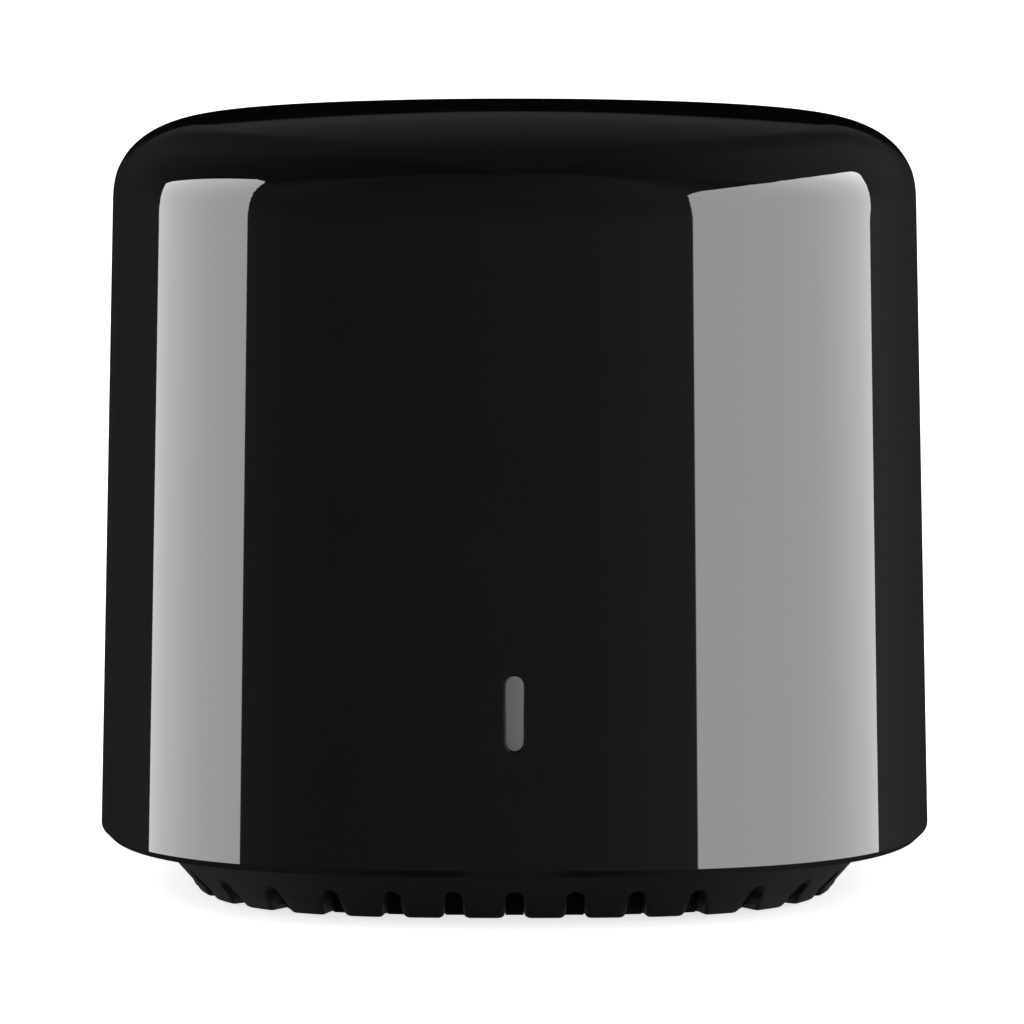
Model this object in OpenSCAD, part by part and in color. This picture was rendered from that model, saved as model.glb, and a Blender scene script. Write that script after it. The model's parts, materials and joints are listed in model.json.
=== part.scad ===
/* [Body] */
// Width and depth of the body at its widest, just above the lower edge
body_w = 46; // [45:0.5:50]
// Height of the whole object above the surface that it stands on
body_h = 43; // [42:0.5:48]
// How far the walls lean in on each side, up to the rounded shoulder
lean = 0.8; // [0.2:0.05:1]
// Height of the rounded shoulder
shoulder_h = 3.5; // [3:0.1:4.5]
// How far the shoulder runs inwards
shoulder_run = 5.5; // [4:0.1:6.5]
// Rise of the slightly domed top inside the shoulder
crown_h = 0.65; // [0.3:0.05:1]
// Thickness of the shell
wall = 1.8; // [1.6:0.1:2]
// Rounding of the shell's lower edge
edge_r = 0.25; // [0.15:0.05:0.4]
// Height of the shell's lower edge above the surface
shell_z = 3.35; // [3.25:0.05:3.5]
// Roundness of the plan of the walls, where 1 is a circle
wall_round_share = 0.695; // [0.64:0.005:0.76]
// Roundness of the plan that the shoulder turns into
top_round_share = 0.95; // [0.86:0.01:1]

/* [Status bar] */
// Width of the bar of light on the front
bar_w = 1; // [0.8:0.1:1.6]
// Height of the bar, over its round ends
bar_h = 4.05; // [3.5:0.05:5]
// Height of the bar's middle above the surface
bar_z = 12.05; // [11.8:0.05:13]

/* [Foot] */
// How far the bottom of the foot lies inside the body's widest line
foot_inset = 5.05; // [4.8:0.05:5.8]
// How far the top of the foot, just below the shell, lies inside the body's widest line
foot_top_inset = 2.65; // [2.5:0.05:2.7]
// How far the flare bows outwards at half its height
foot_bow = 0.1; // [0:0.01:0.3]
// Rounding of the foot's lower edge
foot_edge_r = 0.4; // [0.2:0.05:0.6]
// Roundness of the plan of the foot, where 1 is a circle
foot_round_share = 0.645; // [0.6:0.005:0.7]
// Number of slots round the foot
slot_count = 37; // [31:2:41]
// Width of one slot
slot_w = 1; // [0.7:0.1:1.3]
// Height of the round top of a slot above the bottom of the foot
slot_h = 1.66; // [1.4:0.02:1.9]
// Depth of a slot at the bottom of the foot
slot_depth = 1.5; // [1.2:0.1:1.7]
// How far the rubber pad lies inside the foot's outline
pad_inset = 3.35; // [2.6:0.05:4]
// Thickness of the rubber pad
pad_t = 1; // [0.8:0.1:1.2]
// How far the rubber pad stands out below the foot
pad_proud = 0.2; // [0.15:0.05:0.3]

/* [Rear port] */
// Width of the recess that takes the plug's body
recess_w = 11.4; // [10.8:0.1:12]
// Height of that recess
recess_h = 7.6; // [7:0.1:7.8]
// Depth of the recess from the body's widest line
recess_depth = 4.5; // [4.3:0.1:5]
// Rounding of the recess's corners
recess_r = 2; // [1:0.1:3]
// Width of the socket's metal shell
socket_w = 7.5; // [7.2:0.1:8]
// Height of the socket's metal shell
socket_h = 2.45; // [2.3:0.05:2.8]
// Length of the socket
socket_l = 5.5; // [5:0.1:6]

/* [Reset button] */
// Distance of the button from the middle of the rear
button_x = 10.5; // [10:0.1:11]
// Diameter of the button's face
button_d = 3.4; // [2.8:0.1:3.6]
// Travel of the button
button_travel = 0.25; // [0.15:0.05:0.35]

/* [Boards] */
// Thickness of the main circuit board
board_t = 1.2; // [1:0.1:1.6]
// Height of the main board's underside above the surface
board_z = 7.4; // [7.3:0.1:7.8]
// Thickness of the upper circuit board
ir_board_t = 1; // [0.8:0.1:1.2]

/* [Infrared array] */
// Diameter of an infrared lamp
lamp_d = 5; // [4.6:0.1:5.2]
// Length of an infrared lamp with its flange
lamp_l = 8.6; // [8:0.1:9]
// Height of the upright lamp's flange above the upper board
lamp_rise = 4; // [3.5:0.1:4.5]
// Clearance between the upright lamp and the shell's top
lamp_top_gap = 3.6; // [2.5:0.1:4]
// Distance from the tips of the lamps to the inside of the body at its widest
lamp_tip_gap = 3.5; // [3:0.1:4]
// Thickness of the lamp holder's walls
holder_t = 3; // [2.6:0.1:3.2]

/* [Fits] */
// Clearance between the shell and what fits inside its lower edge
shell_gap = 0.25; // [0.2:0.05:0.35]
// Clearance of a part that is seated in another
seat_gap = 0.1; // [0.05:0.01:0.12]
// Clearance of a part that slides or shows a fine joint line
slide_gap = 0.05; // [0.03:0.01:0.08]
// How far a cut runs past the faces that it opens
overrun = 0.5; // [0.3:0.1:0.8]

/* [Hidden] */

// Facets of the outlines, and rings of each stretch of the body
outline_sides = 76;
edge_steps = 3;
wall_steps = 5;
shoulder_steps = 8;
crown_steps = 4;
flare_steps = 5;
round_fn = 48;
arc_steps = 360;

// A superellipse's power follows from its roundness share
wall_power = 2 / wall_round_share;
top_power = 2 / top_round_share;
foot_power = 2 / foot_round_share;

// Body levels and widths
body_half = body_w / 2;
shoulder_half = body_half - lean;
crown_half = shoulder_half - shoulder_run;
crown_slope = 2 * crown_h / crown_half;
shoulder_turn = 90 - atan(crown_slope * shoulder_run / shoulder_h);
shoulder_z = body_h - crown_h - shoulder_h * sin(shoulder_turn);
edge_z = shell_z + edge_r;
cap_share = 0.1;
inner_half = body_half - wall;
inner_top_z = body_h - wall;
inner_run = shoulder_run - wall;

// Foot, base plate and rubber pad
foot_z = pad_proud;
foot_half = body_half - foot_inset;
foot_top_half = body_half - foot_top_inset;
foot_edge_turns = [90, 60, 35];
foot_top_gap = 0.1;
foot_top_z = shell_z - foot_top_gap;
neck_h = 0.5;
neck_step = 0.95;
neck_half = inner_half - neck_step;
flange_z = shell_z + neck_h;
flange_t = 1;
flange_top_z = flange_z + flange_t;
flange_half = inner_half - shell_gap;
floor_t = 1.4;
pad_top_z = pad_t;
floor_z = pad_top_z + floor_t;
tray_wall = 2.95;
tray_half = flange_half - tray_wall;
pad_half = foot_half - pad_inset;
pad_groove_w = 0.6;
pad_groove_depth = 0.3;
pad_groove_shares = [0.5, 0.75];

// Snap hooks on the base and their pockets in the shell
hook_w = 7;
hook_t = 1;
hook_gap = 0.4;
hook_h = 3.75;
barb_out = 0.75;
barb_h = 0.9;
pocket_gap = 0.2;
hook_out = inner_half - hook_gap;
hook_top_z = flange_top_z + hook_h;
hook_turns = [-90, 0, 180];

// Main board
board_gap = 0.5;
board_half = hook_out - hook_t - board_gap;
board_top_z = board_z + board_t;

// What sits on the boards was laid out for this half width, and spreads with the board
layout_half = 19.3;
layout_share = board_half / layout_half;

// Screws of the main board
screw_x = 12.5;
screw_y = 8.5;
screw_r = 0.98;
screw_head_r = 1.9;
screw_head_h = 1.3;
screw_bite = 4;
cross_w = 0.4;
cross_share = 0.58;
cross_depth = 0.6;
boss_r = 2.2;
pilot_r = 1;
pilot_depth = 4.4;
board_hole_r = 1.2;

// Rear port
port_z = board_top_z + socket_h / 2;
plate_out_y = body_half - recess_depth;
plate_t = 0.6;
plate_y = plate_out_y - plate_t;
sleeve_t = 1;
sleeve_end_y = inner_half + wall / 2;
mouth_gap = 0.3;
mouth_r = 0.7;
socket_gap = 0.15;
socket_y = plate_y - socket_gap;
socket_overhang = 0.75;
board_rear_y = socket_y - socket_overhang;
socket_wall = 0.3;
socket_chamfer = 0.75;
tongue_w = 3.7;
tongue_t = 0.6;
tongue_l = 3.4;
tongue_share = 0.25;
insert_l = 1.6;
contact_w = 0.35;
contact_t = 0.08;
contact_pitch = 0.65;
contact_count = 5;
contact_l = 3;

// Reset button and its switch
button_r = button_d / 2;
button_rim = 0.7;
button_rim_t = 0.5;
button_rim_r = button_r + button_rim;
button_hole_r = button_r + seat_gap;
button_proud = 0.1;
button_dome = 0.25;
button_stem_r = 0.8;
button_stem_l = 0.8;
plunger_r = 1;
plunger_out = 1.2;
plunger_in = 1.2;
switch_w = 4.6;
switch_full_l = 3.4;
switch_l = switch_full_l * layout_share;
switch_h = 2.9;
cover_t = 0.2;
cover_lip = 0.9;

// Light pipe and status lamp
pipe_flange = 0.8;
pipe_flange_t = 0.8;
pipe_face_inset = 0.04;
pipe_arm_w = 1.8;
pipe_arm_h = 2.2;
led_w = 2.8;
led_l = 3.4;
led_h = 1.9;
led_y = -16.8;
led_gap = 0.3;
led_lens_d = 2.4;
led_lens_h = 0.1;

// Wi-Fi module
wifi_w = 16;
wifi_l = 13;
wifi_t = 0.8;
wifi_front_y = -9;
wifi_y = wifi_front_y + wifi_l / 2;
shield_w = 14.4;
shield_h = 2.2;
shield_t = 0.25;
antenna_w = 12.6;
antenna_l = 2.6;
antenna_line = 0.5;
antenna_t = 0.1;
antenna_turns = 6;
shield_gap = 1.28;

// Parts soldered to the main board, as [x, y] and [width, depth, height]
solder_gap = 0.02;
shield_l = wifi_l - antenna_l - antenna_line - shield_gap - solder_gap;
regulator_at = [11.4, 13.2];
regulator_size = [4.5, 2.5, 1.5];
regulator_lead_w = 0.5;
regulator_lead_l = 0.8;
regulator_lead_t = 0.4;
regulator_pitch = 1.5;
inductor_at = [-7.9, 10.2];
inductor_size = [4, 4, 2];
inductor_r = 1.6;
inductor_rim = 0.2;
capacitor_at = [-8.2, -14];
capacitor_r = 3.15;
capacitor_h = 7;
capacitor_bead_z = 1.4;
capacitor_bead = 0.3;
capacitor_base_w = 6.6;
capacitor_base_t = 0.8;
capacitor_chamfer = 1.2;
memory_at = [-11.3, -4.2];
memory_size = [3.9, 3.8, 1.3];
memory_lead_w = 0.4;
memory_lead_t = 0.3;
memory_lead_l = 0.5;
memory_pitch = 1;
memory_lead_count = 4;
crystal_at = [-10.9, 3.4];
crystal_size = [3.2, 2.5, 0.7];
crystal_lid_inset = 0.3;
crystal_lid_t = 0.15;
driver_x = 11.6;
driver_pitch = 3.6;
driver_count = 3;
driver_y = -0.6;
driver_size = [1.3, 2.9, 1];
driver_lead_w = 0.4;
driver_lead_l = 0.55;
driver_lead_t = 0.3;
resistor_x = 15.6;
resistor_pitch = 2.2;
resistor_count = 6;
resistor_size = [1.6, 0.8, 0.45];
chip_cap_x = -16.2;
chip_cap_pitch = 2.6;
chip_cap_count = 4;
chip_cap_size = [1.6, 0.8, 0.8];

// Pin header that joins the two boards
header_pitch = 2.54;
header_gap = 0.33;
header_y = wifi_y + wifi_l / 2 + header_gap + header_pitch / 2;
header_count = 4;
header_block_h = 2.5;
header_pin_w = 0.64;
header_pin_out = 0.6;
header_hole_r = 0.55;

// Upper board and lamp holder
lamp_run = lamp_l * layout_share;
lamp_flange_t = 1;
ir_board_top_z = inner_top_z - lamp_top_gap - lamp_run - lamp_rise;
ir_board_z = ir_board_top_z - ir_board_t;
holder_in = inner_half - lamp_tip_gap - lamp_run + lamp_flange_t + seat_gap;
holder_out = holder_in + holder_t;
holder_full_h = 6.6;
holder_h = holder_full_h * layout_share;
corner_land = 1.2;
leg_turns = [60, 180, 300];
leg_full_r = 1.6;
leg_r = leg_full_r * layout_share;
holder_corner_r = holder_out / cos(30) - leg_r - corner_land * layout_share;
leg_peg_r = 0.8;
holder_screw_turns = [0, 120, 240];
holder_screw_r = 0.78;
holder_pilot_r = 0.8;
holder_screw_head_r = 1.4;
holder_screw_head_h = 0.9;
holder_screw_bite = 3.2;
holder_pilot_depth = 3.6;

// Infrared lamps
lamp_r = lamp_d * layout_share / 2;
lamp_turns = [30, 90, 150, 210, 270, 330];
lamp_flange_out = 0.4;
lamp_flange_r = lamp_r + lamp_flange_out * layout_share;
lamp_axis_z = ir_board_top_z + holder_h / 2;
lamp_back_r = holder_in - seat_gap - lamp_flange_t;
lamp_top_z = ir_board_top_z + lamp_rise;
lamp_lead_pitch = 2.54;
lamp_lead_w = 0.5;
lamp_lead_back = 1.5;
lamp_lead_out = 0.8;
lamp_hole_r = 0.45;

// Infrared receiver
receiver_at = [9.6, -15.7];
receiver_w = 6;
receiver_l = 3.4;
receiver_h = 6.9;
receiver_rise = 3;
receiver_z = board_top_z + receiver_rise;
receiver_dome_r = 2.2;
receiver_dome_out = 1.2;
receiver_lead_pitch = 2;
receiver_lead_w = 0.5;
receiver_lead_out = 0.8;
receiver_hole_r = 0.45;

// Distance from the middle to a superellipse of half width 1, at an angle
function reach_share(turn, power) =
    pow(pow(abs(cos(turn)), power) + pow(abs(sin(turn)), power), -1 / power);

// Point of the plan outline at an angle
function plan_point(half, power, turn) =
    half * reach_share(turn, power) * [cos(turn), sin(turn)];

// Whole plan outline
function plan_outline(half, power) =
    [for (i = [0 : outline_sides - 1]) plan_point(half, power, 360 * i / outline_sides)];

// Place between the lower edge and the shoulder, as a share of the wall's height
function wall_share(z) = (z - edge_z) / (shoulder_z - edge_z);

// Half width of the body's outside at a height on the wall
function half_at(z) = body_half + (shoulder_half - body_half) * wall_share(z);

// Distance from the middle plane to the wall at a sideways place and a height
function wall_depth(x, z, inset) =
    (half_at(z) - inset)
    * pow(1 - pow(abs(x) / (half_at(z) - inset), wall_power), 1 / wall_power);

// The plan turns rounder as the shoulder turns inwards
function turn_power(turn) = wall_power + (top_power - wall_power) * (1 - cos(turn));

// Rings of the body's outside, each as [half width, power, height]
outer_rings = concat(
    [for (i = [0 : edge_steps])
        let (turn = 90 - 90 * i / edge_steps)
        [body_half - edge_r * (1 - cos(turn)), wall_power, edge_z - edge_r * sin(turn)]],
    [for (i = [1 : wall_steps])
        let (z = edge_z + (shoulder_z - edge_z) * i / wall_steps)
        [half_at(z), wall_power, z]],
    [for (i = [1 : shoulder_steps])
        let (turn = shoulder_turn * i / shoulder_steps)
        [shoulder_half - shoulder_run * (1 - cos(turn)), turn_power(turn),
         shoulder_z + shoulder_h * sin(turn)]],
    [for (i = [1 : crown_steps])
        let (share = 1 - (1 - cap_share) * i / crown_steps)
        [(crown_half + shoulder_run * cos(shoulder_turn)) * share, turn_power(shoulder_turn),
         body_h - crown_h * (share * share - cap_share * cap_share) / (1 - cap_share * cap_share)]]
);

// Rings of the space inside the shell
inner_shoulder_h = inner_top_z - crown_h - shoulder_z;
inner_rings = concat(
    [[inner_half, wall_power, shell_z]],
    [for (i = [1 : wall_steps])
        let (z = edge_z + (shoulder_z - edge_z) * i / wall_steps)
        [half_at(z) - wall, wall_power, z]],
    [for (i = [1 : shoulder_steps / 2])
        let (turn = 90 * i / (shoulder_steps / 2))
        [shoulder_half - wall - inner_run * (1 - cos(turn)), turn_power(turn),
         shoulder_z + inner_shoulder_h * sin(turn)]],
    [[crown_half * cap_share, turn_power(90), inner_top_z]]
);

// Rings of the flared foot
flare_rings = concat(
    [for (turn = foot_edge_turns)
        [foot_half - foot_edge_r * (1 - cos(turn)), foot_power, foot_z + foot_edge_r * (1 - sin(turn))]],
    [for (i = [0 : flare_steps])
        let (share = i / flare_steps)
        [foot_half + (foot_top_half - foot_half) * share + 4 * foot_bow * share * (1 - share),
         foot_power,
         foot_z + foot_edge_r + (foot_top_z - foot_z - foot_edge_r) * share]],
    [[neck_half, foot_power, foot_top_z],
     [neck_half, foot_power, flange_z + overrun * flange_t]]
);

// Corner points of a stack of rings
function ring_points(rings) =
    [for (ring = rings, p = plan_outline(ring[0], ring[1])) [p[0], p[1], ring[2]]];

// Two triangles for each facet between two rings, seen from the side of the first winding
function band_faces(low, high) =
    [for (i = [0 : outline_sides - 1])
        let (j = (i + 1) % outline_sides,
             a = low * outline_sides, b = high * outline_sides)
        each [[a + i, b + i, b + j], [a + i, b + j, a + j]]];

function ring_face(ring, up) =
    [for (i = [0 : outline_sides - 1])
        ring * outline_sides + (up ? outline_sides - 1 - i : i)];

// Solid lofted through a stack of rings
module loft(rings) {
    last = len(rings) - 1;
    polyhedron(
        points = ring_points(rings),
        faces = concat(
            [for (k = [0 : last - 1]) each band_faces(k, k + 1)],
            [ring_face(0, false), ring_face(last, true)]));
}

// Open cup between an outer and an inner stack of rings
module cup(outside, inside) {
    m = len(outside);
    n = len(inside);
    polyhedron(
        points = concat(ring_points(outside), ring_points(inside)),
        faces = concat(
            [for (k = [0 : m - 2]) each band_faces(k, k + 1)],
            [ring_face(m - 1, true)],
            [for (k = [0 : n - 2]) each band_faces(m + k + 1, m + k)],
            [ring_face(m + n - 1, false)],
            band_faces(m, 0)));
}

// Plate with the superellipse plan
module plan_plate(half, power, z, t) {
    translate([0, 0, z])
        linear_extrude(height = t)
            polygon(plan_outline(half, power));
}

// Flat shape with round corners, centred
module round_box_2d(w, h, r) {
    square([w - 2 * r, h], center = true);
    square([w, h - 2 * r], center = true);
    for (x = [-1, 1], y = [-1, 1])
        translate([x * (w / 2 - r), y * (h / 2 - r)])
            circle(r, $fn = round_fn);
}

// Flat upright pill, centred
module pill_2d(w, h) {
    square([w, h - w], center = true);
    for (y = [-1, 1])
        translate([0, y * (h - w) / 2])
            circle(d = w, $fn = round_fn);
}

// Stands a flat shape upright at the rear port and carries it along Y
module along_y(from, to, x = 0, z = 0) {
    translate([x, to, z])
        rotate([90, 0, 0])
            linear_extrude(height = to - from)
                children();
}

// Spreads what is laid out on the boards, when the board's width changes
module laid_out() {
    scale([layout_share, layout_share, 1])
        children();
}

// Box on the main board, centred on its place, standing just clear of the board
module on_board(at, size) {
    laid_out()
        translate([at[0] - size[0] / 2, at[1] - size[1] / 2, board_top_z + solder_gap])
            cube(size);
}

// The four screw places of the main board
module at_board_screws() {
    for (x = [-1, 1], y = [-1, 1])
        translate([x * screw_x * layout_share, y * screw_y * layout_share, 0])
            children();
}

// A place on the lamp holder's ring of corners
module at_corners(turns) {
    for (turn = turns)
        rotate([0, 0, turn])
            translate([holder_corner_r, 0, 0])
                children();
}

// Snap hooks stand at the sides and the front
module at_hooks() {
    for (turn = hook_turns)
        rotate([0, 0, turn])
            children();
}

module outer_shell() {
    color([0.03, 0.03, 0.035])
        difference() {
            union() {
                cup(outer_rings, inner_rings);
                along_y(plate_y, sleeve_end_y, z = port_z)
                    round_box_2d(recess_w + 2 * sleeve_t, recess_h + 2 * sleeve_t, recess_r + sleeve_t);
            }
            along_y(plate_out_y, body_half + overrun, z = port_z)
                round_box_2d(recess_w, recess_h, recess_r);
            along_y(plate_y - overrun, plate_out_y + overrun, z = port_z)
                round_box_2d(socket_w + 2 * mouth_gap, socket_h + 2 * mouth_gap, mouth_r);
            along_y(0, body_half + overrun, x = -button_x, z = port_z)
                circle(button_hole_r, $fn = round_fn);
            along_y(-body_half - overrun, 0, z = bar_z)
                pill_2d(bar_w + 2 * slide_gap, bar_h + 2 * slide_gap);
            at_hooks()
                translate([0, -hook_w / 2 - pocket_gap, hook_top_z - barb_h - pocket_gap])
                    cube([hook_out + barb_out + pocket_gap,
                          hook_w + 2 * pocket_gap,
                          barb_h + 2 * pocket_gap]);
        }
}

module light_pipe() {
    face_y = -half_at(bar_z) + pipe_face_inset;
    flange_h = bar_h + 2 * pipe_flange;
    flange_w = bar_w + 2 * pipe_flange;
    inner_y = min(half_at(bar_z + flange_h / 2), half_at(bar_z - flange_h / 2)) - wall;
    flange_y = seat_gap - inner_y;
    arm_end_y = (led_y + led_l / 2) * layout_share;
    foot_end_y = (led_y - led_l / 2) * layout_share;
    arm_z = bar_z + bar_h / 2 - pipe_arm_h;
    foot_bottom_z = board_top_z + led_h + led_lens_h + led_gap;
    color([0.55, 0.55, 0.56]) {
        along_y(face_y, flange_y + pipe_flange_t, z = bar_z)
            pill_2d(bar_w, bar_h);
        along_y(flange_y, flange_y + pipe_flange_t, z = bar_z)
            pill_2d(flange_w, flange_h);
        translate([-pipe_arm_w / 2, flange_y, arm_z])
            cube([pipe_arm_w, arm_end_y - flange_y, pipe_arm_h]);
        translate([-pipe_arm_w / 2, foot_end_y, foot_bottom_z])
            cube([pipe_arm_w, arm_end_y - foot_end_y, arm_z + pipe_arm_h - foot_bottom_z]);
    }
}

// Equal steps along the foot's outline: the angle at each length of arc
foot_line = [for (i = [0 : arc_steps]) plan_point(foot_half, foot_power, 360 * i / arc_steps - 90)];
arc_lengths = [for (i = 0, s = 0; i <= arc_steps;
    s = s + (i < arc_steps ? norm(foot_line[i + 1] - foot_line[i]) : 0), i = i + 1) s];
function arc_turn(length) = lookup(length,
    [for (i = [0 : arc_steps]) [arc_lengths[i], 360 * i / arc_steps - 90]]);

// Direction square to the foot's outline at a point of it
function outline_normal(p) =
    atan2(sign(p[1]) * pow(abs(p[1]), foot_power - 1), sign(p[0]) * pow(abs(p[0]), foot_power - 1));

// One slot: an upright bar with a round top that opens at the bottom and outwards
module foot_slot() {
    slot_run = slot_depth + foot_top_half - foot_half + overrun;
    round_z = foot_z + slot_h - slot_w / 2;
    translate([-slot_depth, -slot_w / 2, foot_z - overrun])
        cube([slot_run, slot_w, round_z - foot_z + overrun]);
    translate([-slot_depth, 0, round_z])
        rotate([0, 90, 0])
            cylinder(d = slot_w, h = slot_run, $fn = round_fn);
}

module foot_slots() {
    for (k = [0 : slot_count - 1]) {
        p = plan_point(foot_half, foot_power, arc_turn(arc_lengths[arc_steps] * k / slot_count));
        translate([p[0], p[1], 0])
            rotate([0, 0, outline_normal(p)])
                foot_slot();
    }
}

module base() {
    color([0.09, 0.09, 0.095]) {
        difference() {
            union() {
                loft(flare_rings);
                plan_plate(flange_half, wall_power, flange_z, flange_t);
            }
            plan_plate(tray_half, foot_power, floor_z, flange_top_z - floor_z + overrun);
            plan_plate(pad_half + seat_gap, foot_power, foot_z - overrun, pad_top_z - foot_z + overrun);
            foot_slots();
        }
        difference() {
            at_board_screws()
                translate([0, 0, floor_z - floor_t / 2])
                    cylinder(r = boss_r, h = board_z - floor_z + floor_t / 2, $fn = round_fn);
            at_board_screws()
                translate([0, 0, board_z - pilot_depth])
                    cylinder(r = pilot_r, h = pilot_depth + overrun, $fn = round_fn);
        }
        at_hooks() {
            translate([hook_out - hook_t, -hook_w / 2, flange_z])
                cube([hook_t, hook_w, hook_top_z - flange_z]);
            translate([hook_out - hook_t, hook_w / 2, hook_top_z - barb_h])
                rotate([90, 0, 0])
                    linear_extrude(height = hook_w)
                        polygon([[0, 0], [hook_t + barb_out, 0], [hook_t, barb_h], [0, barb_h]]);
        }
    }
}

module rubber_pad() {
    color([0.06, 0.06, 0.06])
        difference() {
            plan_plate(pad_half, foot_power, 0, pad_top_z);
            for (share = pad_groove_shares)
                difference() {
                    plan_plate(pad_half * share + pad_groove_w / 2, foot_power, -overrun, overrun + pad_groove_depth);
                    plan_plate(pad_half * share - pad_groove_w / 2, foot_power, -2 * overrun, 3 * overrun + pad_groove_depth);
                }
        }
}

module main_board() {
    color([0.05, 0.2, 0.12])
        difference() {
            intersection() {
                plan_plate(board_half, wall_power, board_z, board_t);
                translate([-board_half, -board_half, board_z - overrun])
                    cube([2 * board_half, board_half + board_rear_y, board_t + 2 * overrun]);
            }
            at_board_screws()
                translate([0, 0, board_z - overrun])
                    cylinder(r = board_hole_r, h = board_t + 2 * overrun, $fn = round_fn);
            at_corners(leg_turns)
                translate([0, 0, board_z - overrun])
                    cylinder(r = leg_peg_r + seat_gap, h = board_t + 2 * overrun, $fn = round_fn);
            at_header_pins()
                translate([0, 0, board_z - overrun])
                    cylinder(r = header_hole_r, h = board_t + 2 * overrun, $fn = round_fn);
            at_receiver_leads()
                translate([0, 0, board_z - overrun])
                    cylinder(r = receiver_hole_r, h = board_t + 2 * overrun, $fn = round_fn);
        }
}

// Pan head screw that points down, with its head's underside at zero
module pan_screw(shank_r, shank_l, head_r, head_h) {
    difference() {
        union() {
            translate([0, 0, -shank_l])
                cylinder(r = shank_r, h = shank_l + head_h / 2, $fn = round_fn);
            cylinder(r = head_r, h = head_h, $fn = round_fn);
        }
        for (turn = [0, 90])
            rotate([0, 0, turn])
                translate([-head_r * cross_share, -cross_w / 2, head_h - cross_depth])
                    cube([2 * head_r * cross_share, cross_w, cross_depth + overrun]);
    }
}

module board_screws() {
    color([0.7, 0.7, 0.72])
        at_board_screws()
            translate([0, 0, board_top_z])
                pan_screw(screw_r, board_t + screw_bite, screw_head_r, screw_head_h);
}

// Outline of the socket: wide above, with two slanted lower corners
module socket_2d(inset) {
    w = socket_w / 2 - inset;
    h = socket_h / 2 - inset;
    slant = socket_chamfer;
    polygon([[-w, h], [w, h], [w, slant - h], [w - slant, -h], [slant - w, -h], [-w, slant - h]]);
}

module usb_socket_shell() {
    color([0.75, 0.75, 0.77])
        translate([0, 0, solder_gap])
            difference() {
                along_y(socket_y - socket_l, socket_y, z = port_z)
                    socket_2d(0);
                along_y(socket_y - socket_l + socket_wall, socket_y + overrun, z = port_z)
                    socket_2d(socket_wall);
            }
}

// The tongue's height above the middle of the socket
tongue_rise = socket_h / 2 - socket_wall - tongue_t - tongue_share * socket_h;
module usb_tongue() {
    inset = socket_wall + slide_gap;
    rear_y = socket_y - socket_l + inset;
    color([0.05, 0.05, 0.05])
        translate([0, 0, solder_gap]) {
            along_y(rear_y, rear_y + insert_l, z = port_z)
                socket_2d(inset);
            along_y(rear_y, rear_y + insert_l + tongue_l, z = port_z + tongue_rise + tongue_t / 2)
                square([tongue_w, tongue_t], center = true);
        }
}

module usb_contacts() {
    rear_y = socket_y - socket_l + socket_wall + slide_gap + insert_l;
    color([0.85, 0.65, 0.3])
        for (k = [0 : contact_count - 1])
            translate([(k - (contact_count - 1) / 2) * contact_pitch - contact_w / 2,
                       rear_y,
                       port_z + solder_gap + tongue_rise - contact_t])
                cube([contact_w, contact_l, contact_t]);
}

// Places along Y of the button, its rim and the switch behind it
rim_front_y = wall_depth(button_x + button_rim_r, port_z, wall) - seat_gap;
rim_back_y = rim_front_y - button_rim_t;
stem_back_y = rim_back_y - button_stem_l;
button_face_y = wall_depth(button_x, port_z, 0) + button_proud;
plunger_tip_y = stem_back_y - slide_gap;
switch_front_y = plunger_tip_y - plunger_out;

module reset_button() {
    color([0.05, 0.05, 0.055])
        translate([-button_x, 0, port_z])
            rotate([-90, 0, 0])
                rotate_extrude($fn = round_fn)
                    polygon([
                        [0, stem_back_y], [button_stem_r, stem_back_y],
                        [button_stem_r, rim_back_y], [button_rim_r, rim_back_y],
                        [button_rim_r, rim_front_y], [button_r, rim_front_y],
                        [button_r, button_face_y - button_dome],
                        [button_r - button_dome, button_face_y], [0, button_face_y]]);
}

module switch_body() {
    color([0.08, 0.08, 0.085])
        difference() {
            translate([-button_x - switch_w / 2, switch_front_y - switch_l, board_top_z + solder_gap])
                cube([switch_w, switch_l, switch_h]);
            along_y(switch_front_y - plunger_in - button_travel - seat_gap, switch_front_y + overrun,
                    x = -button_x, z = port_z)
                circle(plunger_r + slide_gap, $fn = round_fn);
        }
}

module switch_cover() {
    cover_z = board_top_z + solder_gap + switch_h;
    color([0.78, 0.78, 0.8])
        difference() {
            translate([-button_x - switch_w / 2, switch_front_y - switch_l, board_top_z + cover_lip])
                cube([switch_w, switch_l + cover_t, cover_z + cover_t - board_top_z - cover_lip]);
            translate([-button_x - switch_w / 2 - overrun, switch_front_y - switch_l - overrun, board_z])
                cube([switch_w + 2 * overrun, switch_l + overrun, cover_z - board_z]);
            along_y(switch_front_y - overrun, switch_front_y + cover_t + overrun,
                    x = -button_x, z = port_z)
                circle(plunger_r + seat_gap, $fn = round_fn);
        }
}

module switch_plunger() {
    color([0.6, 0.1, 0.08])
        along_y(switch_front_y - plunger_in, plunger_tip_y, x = -button_x, z = port_z)
            circle(plunger_r, $fn = round_fn);
}

module status_led() {
    color([0.9, 0.9, 0.88]) {
        on_board([0, led_y], [led_w, led_l, led_h]);
        translate([0, led_y * layout_share, board_top_z + solder_gap + led_h / 2])
            cylinder(d = led_lens_d, h = led_h / 2 + led_lens_h, $fn = round_fn);
    }
}

module wifi_board() {
    color([0.04, 0.1, 0.22])
        on_board([0, wifi_y], [wifi_w, wifi_l, wifi_t]);
}

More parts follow.
